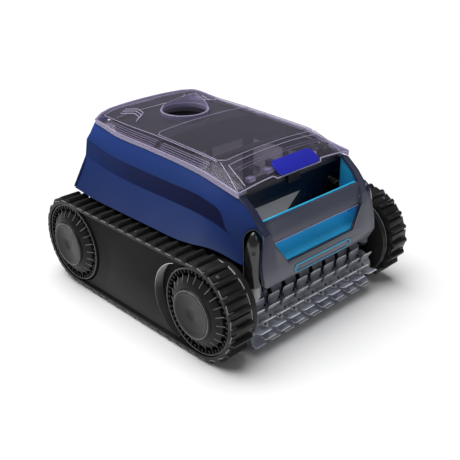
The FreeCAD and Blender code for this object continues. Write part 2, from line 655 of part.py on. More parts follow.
def battery_pack():
    """Two rows of cylindrical cells in a shrink sleeve, standing at the back of the sealed box."""
    case = box(-66.0, 66.0, 118.0, 156.0, 27.0, 118.0)
    rows = [rod_z(9.0, 118.0, 121.0, x, y) for x in range(-55, 56, 22) for y in (127.5, 146.5)]
    return fused([case] + rows)


def control_board():
    """Circuit board with its larger components."""
    parts = [box(-60.0, 60.0, 50.0, 51.6, 34.0, 128.0), box(-40.0, -18.0, 51.5, 54.5, 84.0, 106.0)]
    parts += [rod_y(4.0, 51.5, 58.0, x, 52.0) for x in (10.0, 24.0, 38.0)]
    parts.append(box(-50.0, -20.0, 51.5, 57.0, 40.0, 50.0))
    return fused(parts)


def pump_motor():
    """Electric motor that turns the impeller."""
    can = rod_z(22.0, 40.0, 128.0, 0.0, OUTLET_Y)
    neck = rod_z(9.0, 127.0, 136.0, 0.0, OUTLET_Y)
    return fused([can, neck]).cut(rod_z(3.05, 120.0, 140.0, 0.0, OUTLET_Y))


def drive_motors():
    """The two geared drive motors, one at each rear shaft."""
    can = rod_x(17.5, -131.6, -82.0, AXLE_Y, AXLE_Z)
    can = can.cut(rod_x(SHAFT_BORE_R + 0.2, -132.0, -126.0, AXLE_Y, AXLE_Z))
    return Part.makeCompound([can, mirrored(can)])


def impeller():
    """Pump impeller with its shaft."""
    hub = turned_z([(0, 160.0), (12.0, 160.0), (12.0, 176.0), (8.0, 186.0), (0, 190.0)], 0.0, OUTLET_Y)
    shaft = rod_z(3.0, 121.0, 165.0, 0.0, OUTLET_Y)
    blades = []
    for index in range(5):
        blade = box(10.0, 30.5, -1.1, 1.1, 162.0, 178.0)
        blade.rotate(V(20, 0, 170), X_AXIS, 32.0)
        blade.rotate(V(0, 0, 0), Z_AXIS, index * 72.0)
        blade.translate(V(0, OUTLET_Y, 0))
        blades.append(blade)
    return fused([hub, shaft] + blades)


def turbine_duct():
    """Tube from the impeller up to the outlet, on four feet that stand on the sealed box."""
    tube = rod_z(35.0, 152.0, 252.0, 0.0, OUTLET_Y).cut(rod_z(32.0, 151.0, 253.0, 0.0, OUTLET_Y))
    feet = []
    for angle in (45, 135, 225, 315):
        foot = box(31.5, 38.5, -4.0, 4.0, 148.2, 160.0)
        foot.rotate(V(0, 0, 0), Z_AXIS, angle)
        foot.translate(V(0, OUTLET_Y, 0))
        feet.append(foot)
    return fused([tube] + feet)


def outlet_grille():
    """Round grille of radial ribs in the top of the duct."""
    pieces = [rod_z(31.6, 240.0, 246.0, 0.0, OUTLET_Y).cut(rod_z(29.4, 239.0, 247.0, 0.0, OUTLET_Y)),
              rod_z(6.5, 240.0, 246.5, 0.0, OUTLET_Y)]
    for index in range(12):
        rib = box(5.5, 30.0, -0.8, 0.8, 240.0, 246.0)
        rib.rotate(V(0, 0, 0), Z_AXIS, index * 30.0)
        rib.translate(V(0, OUTLET_Y, 0))
        pieces.append(rib)
    return fused(pieces)


def float_blocks():
    """Foam floats above the tub's flanges, inside the side shells."""
    left = prism_y([(-122.0, 160.0), (-108.0, 160.0), (-108.0, 216.0), (-120.0, 205.0)], -60.0, 165.0)
    return Part.makeCompound([left, mirrored(left)])


def charge_port():
    """Round charging socket in the rear panel."""
    body = rod_y(11.0, 168.0, 179.5, -52.0, 214.0).cut(rod_y(7.5, 172.0, 180.0, -52.0, 214.0))
    pins = [rod_y(1.2, 171.9, 177.0, -52.0 + dx, 214.0) for dx in (-3.0, 3.0)]
    return fused([body] + pins)


def charge_cap():
    """Hinged cap over the charging socket."""
    cap = rod_y(12.0, 180.0, 183.0, -52.0, 214.0)
    ear = box(-57.0, -47.0, 180.0, 183.0, 224.0, 229.0)
    return fused([cap, ear, rod_x(2.2, -57.0, -47.0, 182.4, 229.4)])


def power_button():
    """Round push button in the rear panel."""
    return fused([rod_y(9.0, 174.0, 181.9, 52.0, 214.0), rod_y(11.5, 171.6, 174.1, 52.0, 214.0)])


def hinge_pin():
    """The lid's steel hinge pins."""
    pins = [rod_x(PIN_R, x - 12.0, x + 12.0, HINGE_Y, HINGE_Z) for x in (-88.0, 88.0)]
    return Part.makeCompound(pins)


# ---------------------------------------------------------------- lid

def lid_outline(section, inset):
    """Closed polygon of a lid section; inset moves every face inward by the wall."""
    y, rim_x, rim_low, rim_top, shoulder_x, shoulder_z, centre_z = section
    drop = 0.0 if inset == 0 else 2.0
    half = [(rim_x - inset, rim_low - drop), (rim_x - inset, rim_top - inset * 0.5),
            (shoulder_x - inset * 0.4, shoulder_z - inset), (45.0, centre_z - inset - 0.6)]
    points = [V(-x, y, z) for x, z in half] + [V(0, y, centre_z - inset)]
    return points + [V(x, y, z) for x, z in reversed(half)]


def lid():
    """Clear lid: a thin crowned shell with a rim, a front tongue, an outlet hole and hinge arms."""
    outer = lofted([lid_outline(s, 0.0) for s in LID_SECTIONS])
    inner_sections = [(180.0,) + LID_SECTIONS[0][1:]] + list(LID_SECTIONS[1:])
    inner = lofted([lid_outline(s, WALL) for s in inner_sections])
    shell = outer.cut(inner)
    corner = [(-125.0, 167.5), (-125.0, 190.0), (-74.0, 190.0), (-74.0, 184.5)]
    for points in (corner, [(-x, y) for x, y in corner]):
        shell = shell.cut(prism_z(points, 230.0, 280.0))
    skin = []
    for sign in (-1, 1):
        a, b = (sign * 113.2, 171.2), (sign * 79.0, 183.0)
        dx, dy = 0.32 * sign * -WALL, -0.95 * WALL
        skin.append(prism_z([a, b, (b[0] + dx, b[1] + dy), (a[0] + dx, a[1] + dy)], 254.5, 260.0))
    tongue = prism_x([(-154.0, 236.5), (-164.2, 230.8), (-163.6, 228.2), (-154.0, 233.0)], -44.0, 44.0)
    shell = fused([shell, tongue] + skin)
    shell = shell.cut(rod_z(OUTLET_R + 0.3, 240.0, 280.0, 0.0, OUTLET_Y))
    arms = []
    for side in (-1, 1):
        low, high = sorted((side * 12.6, side * 15.6))
        ear = box(low, high, LATCH_Y - 2.4, LATCH_Y + 2.4, LATCH_Z - 2.6, 238.0)
        arms.append(ear.cut(rod_x(LATCH_PIN_R + 0.06, low - 1, high + 1, LATCH_Y, LATCH_Z)))
    for x in (-88.0, 88.0):
        for side in (-1, 1):
            low, high = sorted((x + side * 5.4, x + side * 11.5))
            arm = prism_x([(181.0, 256.0), (HINGE_Y - 3.0, HINGE_Z - 3.2), (HINGE_Y + 3.2, HINGE_Z - 3.0),
                           (HINGE_Y + 3.2, HINGE_Z + 3.2), (183.0, 262.0), (181.0, 262.0)], low, high)
            arm = arm.fuse(rod_x(4.5, low, high, HINGE_Y, HINGE_Z))
            arms.append(arm.cut(rod_x(PIN_R + 0.06, low - 1, high + 1, HINGE_Y, HINGE_Z)))
    return fused([shell] + arms)


def above_plane(rise_x, rise_y, height):
    """Everything above a sloping plane through the outlet's axis at the given height."""
    reach = 60.0
    corners = ((-reach, -reach), (reach, -reach), (reach, reach), (-reach, reach))
    return prism([V(x, OUTLET_Y + y, height + rise_x * x + rise_y * y) for x, y in corners], V(0, 0, 90))


def outlet_cowl():
    """Rim of the outlet and the slanted cowl that stands on one side of it."""
    rim = rod_z(OUTLET_R, 262.0, 268.6, 0.0, OUTLET_Y).cut(rod_z(OUTLET_R - 3.4, 261.0, 270.0, 0.0, OUTLET_Y))
    wall = rod_z(OUTLET_R, 268.0, 300.0, 0.0, OUTLET_Y).cut(rod_z(OUTLET_R - 2.2, 267.0, 301.0, 0.0, OUTLET_Y))
    wall = wall.cut(above_plane(0.15, -0.275, 283.9))
    wall = wall.cut(box(-60.0, 0.0, OUTLET_Y - 60.0, OUTLET_Y, 267.0, 302.0))
    front = [(-60.0, 267.0), (-25.0, 267.0), (14.6, 285.3), (14.6, 302.0), (-60.0, 302.0)]
    wall = wall.cut(prism_x([(OUTLET_Y + y, z) for y, z in front], 0.0, 60.0))
    end = [(-60.0, 267.0), (-27.6, 267.0), (-14.6, 271.7), (-14.6, 302.0), (-60.0, 302.0)]
    return fused([rim, wall.cut(prism_y(end, OUTLET_Y, OUTLET_Y + 60.0))])


def badge_plate():
    """Plain blue plate on the lid's tongue."""
    slab = prism_x([(-141.2, 250.0), (-164.6, 233.8), (-163.4, 232.2), (-140.2, 248.2)], -42.5, 42.5)
    return slab


def vent_racks():
    """Ribbed strips under the shoulders of the lid."""
    racks = []
    for sign in (-1, 1):
        for start, end, base in ((-88.0, 15.0, 238.0), (27.0, 150.0, 244.0)):
            low, high = sorted((sign * 99.6, sign * 104.4))
            pieces = [box(low, high, start, end, base, base + 1.8)]
            ribs = [start + RACK_PITCH * i for i in range(int((end - start) / RACK_PITCH))]
            pieces += [box(low, high, y, y + RACK_PITCH * 0.4, base + 1.5, base + 5.0) for y in ribs]
            racks.append(fused(pieces))
    return Part.makeCompound(racks)


def lid_latch():
    """Sprung latch lever under the front of the lid, on its own pin."""
    lever = prism_x([(-151.6, 232.6), (-149.0, 232.6), (-148.8, 213.8), (-147.0, 212.6), (-147.0, 211.0),
                     (-151.6, 211.0)], -12.2, 12.2)
    return fused([lever, rod_x(LATCH_PIN_R, -15.4, 15.4, LATCH_Y, LATCH_Z)])


# ---------------------------------------------------------------- filter

def filter_profile(inset, top):
    """Side profile of the basket in y and z, stepped in at its lower front corner."""
    return [(FILTER_STEP_Y + inset, FILTER_FLOOR + inset), (FILTER_REAR - inset, FILTER_FLOOR + inset),
            (FILTER_REAR - inset, top), (FILTER_FRONT + inset, top), (FILTER_FRONT + inset, FILTER_STEP_Z + inset),
            (FILTER_STEP_Y + inset, FILTER_STEP_Z + inset)]


def front_mesh_outline(gap):
    """Outline in x and z of the slanted mesh window in the filter's front; gap draws it in."""
    return [(-76.0 + gap, 130.0 + gap), (-42.0 - gap, 130.0 + gap), (26.5 - 2.5 * gap, 187.0 - gap),
            (-76.0 + gap, 187.0 - gap)]


def filter_frame():
    """Open-topped filter basket: side panels, cross panels between them, a slotted floor and a handle.

    The panels snap together at their edges, so each is its own solid.
    """
    reach = FILTER_X - WALL
    panels = []
    for sign in (-1, 1):
        low, high = sorted((sign * reach, sign * FILTER_X))
        side = prism_x(filter_profile(0.0, FILTER_TOP), low, high)
        for y0, y1 in ((-128.0, -62.0), (-50.0, 16.0)):
            side = side.cut(box(low - 1, high + 1, y0, y1, 104.0, 216.0))
        panels.append(side)
    front = box(-reach, reach, FILTER_FRONT, FILTER_FRONT + WALL, FILTER_STEP_Z, FILTER_TOP)
    rear = box(-reach, reach, FILTER_REAR - WALL, FILTER_REAR, FILTER_FLOOR, FILTER_TOP)
    front = front.cut(prism_y(front_mesh_outline(0.0), FILTER_FRONT - 1, FILTER_FRONT + WALL + 1))
    for x0, x1 in ((-74.0, -6.0), (6.0, 74.0)):
        rear = rear.cut(box(x0, x1, FILTER_REAR - WALL - 1, FILTER_REAR + 1, 86.0, 216.0))
    step = box(-reach, reach, FILTER_FRONT + WALL, FILTER_STEP_Y, FILTER_STEP_Z, FILTER_STEP_Z + WALL)
    riser = box(-reach, reach, FILTER_STEP_Y, FILTER_STEP_Y + WALL, FILTER_FLOOR, FILTER_STEP_Z + WALL)
    floor = box(-reach, reach, FILTER_STEP_Y + WALL, FILTER_REAR - WALL, FILTER_FLOOR, FILTER_FLOOR + WALL)
    floor = floor.cut(box(-INLET_X, INLET_X, INLET_FRONT + 2, INLET_REAR - 2, FILTER_FLOOR - 1,
                          FILTER_FLOOR + WALL + 1))
    handle = prism_x([(-60.0, FILTER_TOP), (-52.0, FILTER_TOP), (-50.0, 239.0), (-62.0, 239.0)], -FILTER_X, FILTER_X)
    handle = handle.cut(box(-FILTER_X + 5, FILTER_X - 5, -64.0, -48.0, 225.0, 235.0))
    return Part.makeCompound(panels + [front, rear, step, riser, floor, handle])


def filter_mesh():
    """Fine mesh panels in the windows of the filter frame."""
    panels = [prism_y(front_mesh_outline(0.2), FILTER_FRONT + 1.0, FILTER_FRONT + 1.8)]
    for x0, x1 in ((-73.8, -6.2), (6.2, 73.8)):
        panels.append(box(x0, x1, FILTER_REAR - 1.8, FILTER_REAR - 1.0, 86.2, 215.8))
    for y0, y1 in ((-127.8, -62.2), (-49.8, 15.8)):
        for sign in (-1, 1):
            low, high = sorted((sign * (FILTER_X - 1.8), sign * (FILTER_X - 1.0)))
            panels.append(box(low, high, y0, y1, 104.2, 215.8))
    return Part.makeCompound(panels)


def inlet_flap():
    """Flap that keeps the dirt in: hinged over the slot in the filter's floor."""
    leaf = box(-INLET_X - 2, INLET_X + 2, INLET_FRONT + 0.5, INLET_REAR + 1.0, FILTER_FLOOR + WALL + 0.3,
               FILTER_FLOOR + WALL + 2.3)
    return fused([leaf, rod_x(2.0, -INLET_X - 2, INLET_X + 2, INLET_REAR + 2.0, FILTER_FLOOR + WALL + 2.4)])


# ---------------------------------------------------------------- build

def build_running_gear():
    """Tracks, wheels, covers, shafts and guards."""
    save_pair("track", track())
    for place, y, geared in (("front", -AXLE_Y, True), ("rear", AXLE_Y, False)):
        save_pair("wheel_" + place, wheel(y, geared))
        save_pair("hub_cap_" + place, hub_cap(y))
    save_pair("drive_shaft", drive_shaft())
    save("front_stub_axles", front_stub_axles())
    save("axle_bushes", axle_bushes())
    save_pair("drive_guard", drive_guard())
    save_pair("side_cover", side_cover())


def build_brush():
    """The scrubbing brush and its drive."""
    save("brush_core", brush_core())
    save("brush_shaft", brush_shaft())
    save("brush_paddles", brush_paddles())
    save("brush_pinion", brush_pinion())
    save("brush_bearings", brush_bearings())


def build_body():
    """Hull, fascia and what the hull holds."""
    save("chassis_tub", chassis_tub())
    save_pair("side_shell", side_shell())
    save("rear_shell", rear_shell())
    save("front_fascia", front_fascia())
    save("rail_lip", rail_lip())
    save("fascia_strip", fascia_strip())
    save("front_liner", front_liner())
    save("deck_frame", deck_frame())
    save("lid_seal", lid_seal())
    save_pair("corner_pod", corner_pod())
    save("pod_tips", pod_tips())
    save("pod_cradles", pod_cradles())
    save("motor_block", motor_block())
    save("motor_block_cover", motor_block_cover())
    save("battery_pack", battery_pack())
    save("control_board", control_board())
    save("pump_motor", pump_motor())
    save("drive_motors", drive_motors())
    save("impeller", impeller())
    save("turbine_duct", turbine_duct())
    save("outlet_grille", outlet_grille())
    save("float_blocks", float_blocks())
    save("charge_port", charge_port())
    save("charge_cap", charge_cap())
    save("power_button", power_button())
    save("hinge_pin", hinge_pin())
    save("screws", screws())


def build_lid_and_filter():
    """The lid with what it carries, and the filter basket."""
    save("lid", lid())
    save("outlet_cowl", outlet_cowl())
    save("badge_plate", badge_plate())
    save("vent_racks", vent_racks())
    save("lid_latch", lid_latch())
    save("filter_frame", filter_frame())
    save("filter_mesh", filter_mesh())
    save("inlet_flap", inlet_flap())


def main():
    """Write every node into parts/."""
    os.makedirs("parts", exist_ok=True)
    build_running_gear()
    build_brush()
    build_body()
    build_lid_and_filter()


main()
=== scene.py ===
"""Looks for a cordless tracked pool cleaner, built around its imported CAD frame.

Sizes in the classes are millimetres in the frame of the CAD: +Z up, the front faces -Y, left is -X.
"""

from __future__ import annotations

import json
import logging
import math
from collections.abc import Callable, Mapping, Sequence
from dataclasses import dataclass
from enum import Enum
from typing import Any

import bmesh
import bpy
from mathutils import Matrix, Vector

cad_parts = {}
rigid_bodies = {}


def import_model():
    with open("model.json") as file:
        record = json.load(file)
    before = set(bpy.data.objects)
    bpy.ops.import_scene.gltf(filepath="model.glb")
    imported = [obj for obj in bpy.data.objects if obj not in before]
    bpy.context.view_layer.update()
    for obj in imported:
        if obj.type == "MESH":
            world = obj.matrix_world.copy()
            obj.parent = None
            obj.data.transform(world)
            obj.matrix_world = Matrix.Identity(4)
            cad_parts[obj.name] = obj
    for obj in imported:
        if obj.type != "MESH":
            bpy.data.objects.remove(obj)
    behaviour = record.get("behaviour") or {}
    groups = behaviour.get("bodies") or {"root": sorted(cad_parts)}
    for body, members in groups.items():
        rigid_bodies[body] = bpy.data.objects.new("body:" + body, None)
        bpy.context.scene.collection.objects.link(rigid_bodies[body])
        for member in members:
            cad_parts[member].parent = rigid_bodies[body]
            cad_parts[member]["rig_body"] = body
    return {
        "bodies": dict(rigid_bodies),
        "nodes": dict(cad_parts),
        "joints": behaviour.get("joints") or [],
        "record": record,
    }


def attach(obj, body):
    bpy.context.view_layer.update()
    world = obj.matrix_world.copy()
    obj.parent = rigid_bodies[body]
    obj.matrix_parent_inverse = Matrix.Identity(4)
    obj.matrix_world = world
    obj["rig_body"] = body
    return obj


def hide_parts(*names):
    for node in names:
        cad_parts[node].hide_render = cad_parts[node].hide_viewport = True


MM = 0.001
LOG = logging.getLogger("pool_cleaner")
Point = tuple[float, float, float]
Pair = tuple[float, float]
Colour = tuple[float, float, float]


class Side(Enum):
    """A side of the machine; the value is the sign of x there."""

    LEFT = -1
    RIGHT = 1

    @property
    def word(self) -> str:
        """The side's name as the CAD nodes spell it."""
        return self.name.lower()


class Place(Enum):
    """A wheel's place along the track; the value is the sign of y there."""

    FRONT = -1
    REAR = 1

    @property
    def word(self) -> str:
        """The place's name as the CAD nodes spell it."""
        return self.name.lower()


# ------------------------------------------------------------------ node trees


class Value:
    """A number carried by a node socket. Arithmetic on it adds Math nodes to its tree."""

    def __init__(self, tree: NodeTree, socket: bpy.types.NodeSocket) -> None:
        """Wrap a socket.

        Args:
            tree: The tree that the socket is in.
            socket: An output socket that carries a number.
        """
        self.tree = tree
        self.socket = socket

    def maths(self, operation: str, *others: Any) -> Value:
        """Add one Math node.

        Args:
            operation: The Math node's operation.
            others: Its second and third inputs.

        Returns:
            The node's result.
        """
        inputs = dict(enumerate((self, *others)))
        return Value(self.tree, self.tree.add("ShaderNodeMath", {"operation": operation}, inputs).outputs[0])

    def reflected(self, operation: str, other: float) -> Value:
        """Add a Math node whose first input is the plain number.

        Args:
            operation: The Math node's operation.
            other: The number on the left of the operator.

        Returns:
            The node's result.
        """
        inputs = {0: other, 1: self}
        return Value(self.tree, self.tree.add("ShaderNodeMath", {"operation": operation}, inputs).outputs[0])

    def __add__(self, other: Any) -> Value:
        """Sum."""
        return self.maths("ADD", other)

    __radd__ = __add__

    def __sub__(self, other: Any) -> Value:
        """Difference."""
        return self.maths("SUBTRACT", other)

    def __rsub__(self, other: float) -> Value:
        """Difference with the number first."""
        return self.reflected("SUBTRACT", other)

    def __mul__(self, other: Any) -> Value:
        """Product."""
        return self.maths("MULTIPLY", other)

    __rmul__ = __mul__

    def __truediv__(self, other: Any) -> Value:
        """Quotient."""
        return self.maths("DIVIDE", other)

    def __rtruediv__(self, other: float) -> Value:
        """Quotient with the number first."""
        return self.reflected("DIVIDE", other)

    def __pow__(self, other: Any) -> Value:
        """Power."""
        return self.maths("POWER", other)

    def __mod__(self, other: Any) -> Value:
        """Remainder that is never negative."""
        return self.maths("FLOORED_MODULO", other)

    def __lt__(self, other: Any) -> Value:
        """1 where this is less, else 0."""
        return self.maths("LESS_THAN", other)

    def floor(self) -> Value:
        """Round down."""
        return self.maths("FLOOR")

    def cos(self) -> Value:
        """Cosine."""
        return self.maths("COSINE")

    def sin(self) -> Value:
        """Sine."""
        return self.maths("SINE")

    def least(self, other: Any) -> Value:
        """The smaller of the two."""
        return self.maths("MINIMUM", other)

    def most(self, other: Any) -> Value:
        """The larger of the two."""
        return self.maths("MAXIMUM", other)

    def ramp(self, low: float, high: float) -> Value:
        """Rise smoothly from 0 at low to 1 at high.

        Args:
            low: Where the rise starts.
            high: Where it ends.

        Returns:
            A number from 0 to 1.
        """
        settings = {"interpolation_type": "SMOOTHSTEP", "clamp": True}
        node = self.tree.add("ShaderNodeMapRange", settings, {0: self, 1: low, 2: high, 3: 0.0, 4: 1.0})
        return Value(self.tree, node.outputs[0])


class NodeTree:
    """A shader or geometry node tree that is written as calls."""

    def __init__(self, tree: bpy.types.NodeTree) -> None:
        """Wrap an empty tree.

        Args:
            tree: The tree that nodes are added to.
        """
        self.tree = tree

    def add(
        self, kind: str, settings: Mapping[str, Any] | None = None, inputs: Mapping[Any, Any] | None = None
    ) -> bpy.types.Node:
        """Add one node.

        Args:
            kind: The node's type.
            settings: Its properties, set before its sockets; "stops" fills a colour ramp.
            inputs: Values or links of its sockets, by name or number.

        Returns:
            The new node.
        """
        node = self.tree.nodes.new(kind)
        for name, value in (settings or {}).items():
            if name == "stops":
                self.set_stops(node.color_ramp, value)
            else:
                setattr(node, name, value)
        for key, value in (inputs or {}).items():
            self.feed(node.inputs[key], value)
        return node

    def feed(self, socket: bpy.types.NodeSocket, value: Any) -> None:
        """Give an input socket its value or link.

        Args:
            socket: The input socket.
            value: A Value, an output socket, or a plain value.
        """
        if isinstance(value, Value):
            self.tree.links.new(value.socket, socket)
        elif isinstance(value, bpy.types.NodeSocket):
            self.tree.links.new(value, socket)
        elif socket.type == "RGBA" and len(value) == 3:
            socket.default_value = (*value, 1.0)
        else:
            socket.default_value = value

    @staticmethod
    def set_stops(ramp: bpy.types.ColorRamp, stops: Sequence[tuple[float, Colour]]) -> None:
        """Fill a colour ramp.

        Args:
            ramp: The ramp.
            stops: Places and colours, in order.
        """
        while len(ramp.elements) < len(stops):
            ramp.elements.new(0.5)
        for element, (place, colour) in zip(ramp.elements, stops):
            element.position = place
            element.color = (*colour, 1.0)


class Shade(NodeTree):
    """A material's node tree."""

    def __init__(self, name: str) -> None:
        """Make an empty material.

        Args:
            name: The material's name.
        """
        self.material = bpy.data.materials.new(name)
        self.material.use_nodes = True
        super().__init__(self.material.node_tree)
        self.tree.nodes.clear()
        self.place = self.add("ShaderNodeTexCoord").outputs["Object"]

    def axes(self) -> tuple[Value, Value, Value]:
        """Object coordinates in millimetres.

        Returns:
            x, y and z.
        """
        node = self.add("ShaderNodeSeparateXYZ", None, {0: self.place})
        x, y, z = (Value(self, socket) * 1000.0 for socket in node.outputs)
        return x, y, z

    def noise(self, size: float, detail: float = 3.0, stretch: Point = (1.0, 1.0, 1.0)) -> Value:
        """Soft noise from 0 to 1.

        Args:
            size: Size of its blobs, in millimetres.
            detail: How many finer layers it has.
            stretch: How much finer it is along each axis.

        Returns:
            The noise.
        """
        mapped = self.add("ShaderNodeMapping", None, {"Vector": self.place, "Scale": stretch}).outputs[0]
        inputs = {"Vector": mapped, "Scale": 1000.0 / size, "Detail": detail, "Roughness": 0.55}
        node = self.add("ShaderNodeTexNoise", {"noise_dimensions": "3D"}, inputs)
        return Value(self, node.outputs[0])

    def blend(self, first: Any, second: Any, share: Any) -> bpy.types.NodeSocket:
        """Mix two colours.

        Args:
            first: Colour at 0.
            second: Colour at 1.
            share: How much of the second.

        Returns:
            The mixed colour's socket.
        """
        node = self.add("ShaderNodeMix", {"data_type": "RGBA"}, {0: share, 6: first, 7: second})
        return node.outputs[2]

    def bump(self, height: Value, reach: float) -> bpy.types.NodeSocket:
        """Turn a height into a bumped normal.

        Args:
            height: Height from 0 to 1.
            reach: What height 1 stands for, in millimetres.

        Returns:
            The normal's socket.
        """
        return self.add("ShaderNodeBump", None, {"Height": height, "Distance": reach * MM,
                                                 "Strength": 0.7}).outputs[0]

    def facing(self, blend: float) -> Value:
        """0 on faces seen straight on, 1 on faces seen edge on.

        Args:
            blend: How soon it rises.

        Returns:
            The share.
        """
        return Value(self, self.add("ShaderNodeLayerWeight", None, {"Blend": blend}).outputs["Facing"])

    def close(self, shader: bpy.types.Node) -> bpy.types.Material:
        """Join the last shader to the output.

        Args:
            shader: The shader node.

        Returns:
            The finished material.
        """
        self.add("ShaderNodeOutputMaterial", None, {"Surface": shader.outputs[0]})
        return self.material


class Pattern(NodeTree):
    """A geometry node tree that sets copies of one part out by rule."""

    def __init__(self, name: str, **sizes: float | int) -> None:
        """Make an empty tree with named inputs.

        Args:
            name: The tree's name.
            sizes: Names and values of its number inputs.
        """
        super().__init__(bpy.data.node_groups.new(name, "GeometryNodeTree"))
        face = self.tree.interface
        self.part_id = face.new_socket("Part", in_out="INPUT", socket_type="NodeSocketObject").identifier
        self.sizes: dict[str, tuple[str, float | int]] = {}
        for key, value in sizes.items():
            kind = "NodeSocketInt" if isinstance(value, int) else "NodeSocketFloat"
            socket = face.new_socket(key, in_out="INPUT", socket_type=kind)
            self.sizes[key] = (socket.identifier, value)
        face.new_socket("Geometry", in_out="OUTPUT", socket_type="NodeSocketGeometry")
        self.entry = self.add("NodeGroupInput")
        self.index = Value(self, self.add("GeometryNodeInputIndex").outputs[0])

    def size(self, name: str) -> Value:
        """A named input's value.

        Args:
            name: The input's name.

        Returns:
            Its number.
        """
        return Value(self, self.entry.outputs[name])

    def vector(self, x: Any, y: Any, z: Any) -> bpy.types.NodeSocket:
        """Join three numbers to a vector.

        Args:
            x: First number.
            y: Second number.
            z: Third number.

        Returns:
            The vector's socket.
        """
        return self.add("ShaderNodeCombineXYZ", None, {0: x, 1: y, 2: z}).outputs[0]

    def scatter(
        self, count: Any, place: Sequence[Any], turn: Sequence[Any], material: bpy.types.Material,
        keep: Value | None = None,
    ) -> None:
        """Set the copies out and close the tree.

        Args:
            count: How many copies.
            place: x, y and z of a copy in metres, from its index.
            turn: Its rotation about x, y and z in radians.
            material: What the copies are made of.
            keep: 1 for the copies that stay.
        """
        part = self.add("GeometryNodeObjectInfo", {"transform_space": "ORIGINAL"},
                        {0: self.entry.outputs["Part"]})
        inputs = {"Count": count, "Position": self.vector(*place)}
        points = self.add("GeometryNodePoints", None, inputs).outputs[0]
        inputs = {"Points": points, "Instance": part.outputs["Geometry"], "Rotation": self.vector(*turn)}
        if keep is not None:
            inputs["Selection"] = keep
        copies = self.add("GeometryNodeInstanceOnPoints", None, inputs).outputs[0]
        real = self.add("GeometryNodeRealizeInstances", None, {0: copies}).outputs[0]
        dressed = self.add("GeometryNodeSetMaterial", None,
                           {"Geometry": real, "Material": material}).outputs[0]
        self.add("NodeGroupOutput", None, {0: dressed})

    def grow(self, name: str, part: bpy.types.Object) -> bpy.types.Object:
        """Run the tree and keep its result as a plain mesh.

        Args:
            name: The new piece's name.
            part: The shape that is copied; it is removed afterwards.

        Returns:
            The new piece.
        """
        carrier = link(bpy.data.objects.new(name + ".carrier", bpy.data.meshes.new(name + ".carrier")))
        modifier = carrier.modifiers.new("pattern", "NODES")
        modifier.node_group = self.tree
        modifier[self.part_id] = part
        for identifier, value in self.sizes.values():
            modifier[identifier] = value
        bpy.context.view_layer.update()
        mesh = bpy.data.meshes.new_from_object(carrier.evaluated_get(bpy.context.evaluated_depsgraph_get()))
        mesh.name = name
        bpy.data.objects.remove(carrier)
        bpy.data.objects.remove(part)
        return link(bpy.data.objects.new(name, mesh))


def link(thing: bpy.types.Object) -> bpy.types.Object:
    """Put a new object in the scene.

    Args:
        thing: The object.

    Returns:
        The same object.
    """
    bpy.context.scene.collection.objects.link(thing)
    return thing


# ------------------------------------------------------------------ finishes


@dataclass(frozen=True)
class Finish:
    """What a surface is made of."""

    name: str
    slot: str
    colour: Colour

    def material(self) -> bpy.types.Material:
        """The finish's material, made once."""
        label = "finish_" + self.name
        return bpy.data.materials.get(label) or self.build(Shade(label))

    def build(self, shade: Shade) -> bpy.types.Material:
        """Build the nodes; each kind of finish does this its own way."""
        raise NotImplementedError


@dataclass(frozen=True)
class Moulded(Finish):
    """Moulded plastic or rubber with a fine grain, soft shade changes and light scuffs."""

    other: Colour = (0.0, 0.0, 0.0)
    patch: float = 40.0
    rough: float = 0.3
    rough_swing: float = 0.1
    grain: float = 0.4
    grain_height: float = 0.02
    scuff: float = 0.1
    scuff_colour: Colour = (0.3, 0.3, 0.32)
    coat: float = 0.0
    coat_rough: float = 0.15
    metallic: float = 0.0
    specular: float = 0.5

    def tint(self, shade: Shade) -> Any:
        """The colour before scuffs.

        Args:
            shade: The material's tree.

        Returns:
            A colour socket.
        """
        return shade.blend(self.colour, self.other, shade.noise(self.patch, 2.0).ramp(0.3, 0.7))

    def build(self, shade: Shade) -> bpy.types.Material:
        """Build the nodes.

        Args:
            shade: The material's tree.

        Returns:
            The material.
        """
        marks = shade.noise(9.0, 5.0, (1.0, 0.35, 1.6)).ramp(0.6, 0.74) * self.scuff
        colour = shade.blend(self.tint(shade), self.scuff_colour, marks)
        grain = shade.noise(self.grain, 2.0)
        rough = shade.noise(14.0, 3.0) * self.rough_swing + (self.rough - self.rough_swing / 2) + marks * 0.2
        inputs = {
            "Base Color": colour,
            "Roughness": rough,
            "Metallic": self.metallic,
            "Specular IOR Level": self.specular,
            "Coat Weight": self.coat,
            "Coat Roughness": self.coat_rough,
            "Normal": shade.bump(grain, self.grain_height),
        }
        return shade.close(shade.add("ShaderNodeBsdfPrincipled", None, inputs))


@dataclass(frozen=True)
class Banded(Moulded):
    """Moulded plastic whose colour runs smoothly between stops along one axis."""

    axis: int = 2
    low: float = 0.0
    high: float = 100.0
    stops: tuple[tuple[float, Colour], ...] = ()

    def tint(self, shade: Shade) -> Any:
        """The colour along the axis, with soft patches.

        Args:
            shade: The material's tree.

        Returns:
            A colour socket.
        """
        along = (shade.axes()[self.axis] - self.low) / (self.high - self.low)
        ramp = shade.add("ShaderNodeValToRGB", {"stops": self.stops},
                         {0: along + shade.noise(30.0) * 0.06 - 0.03})
        return shade.blend(ramp.outputs[0], self.other, shade.noise(self.patch, 2.0).ramp(0.35, 0.8) * 0.3)


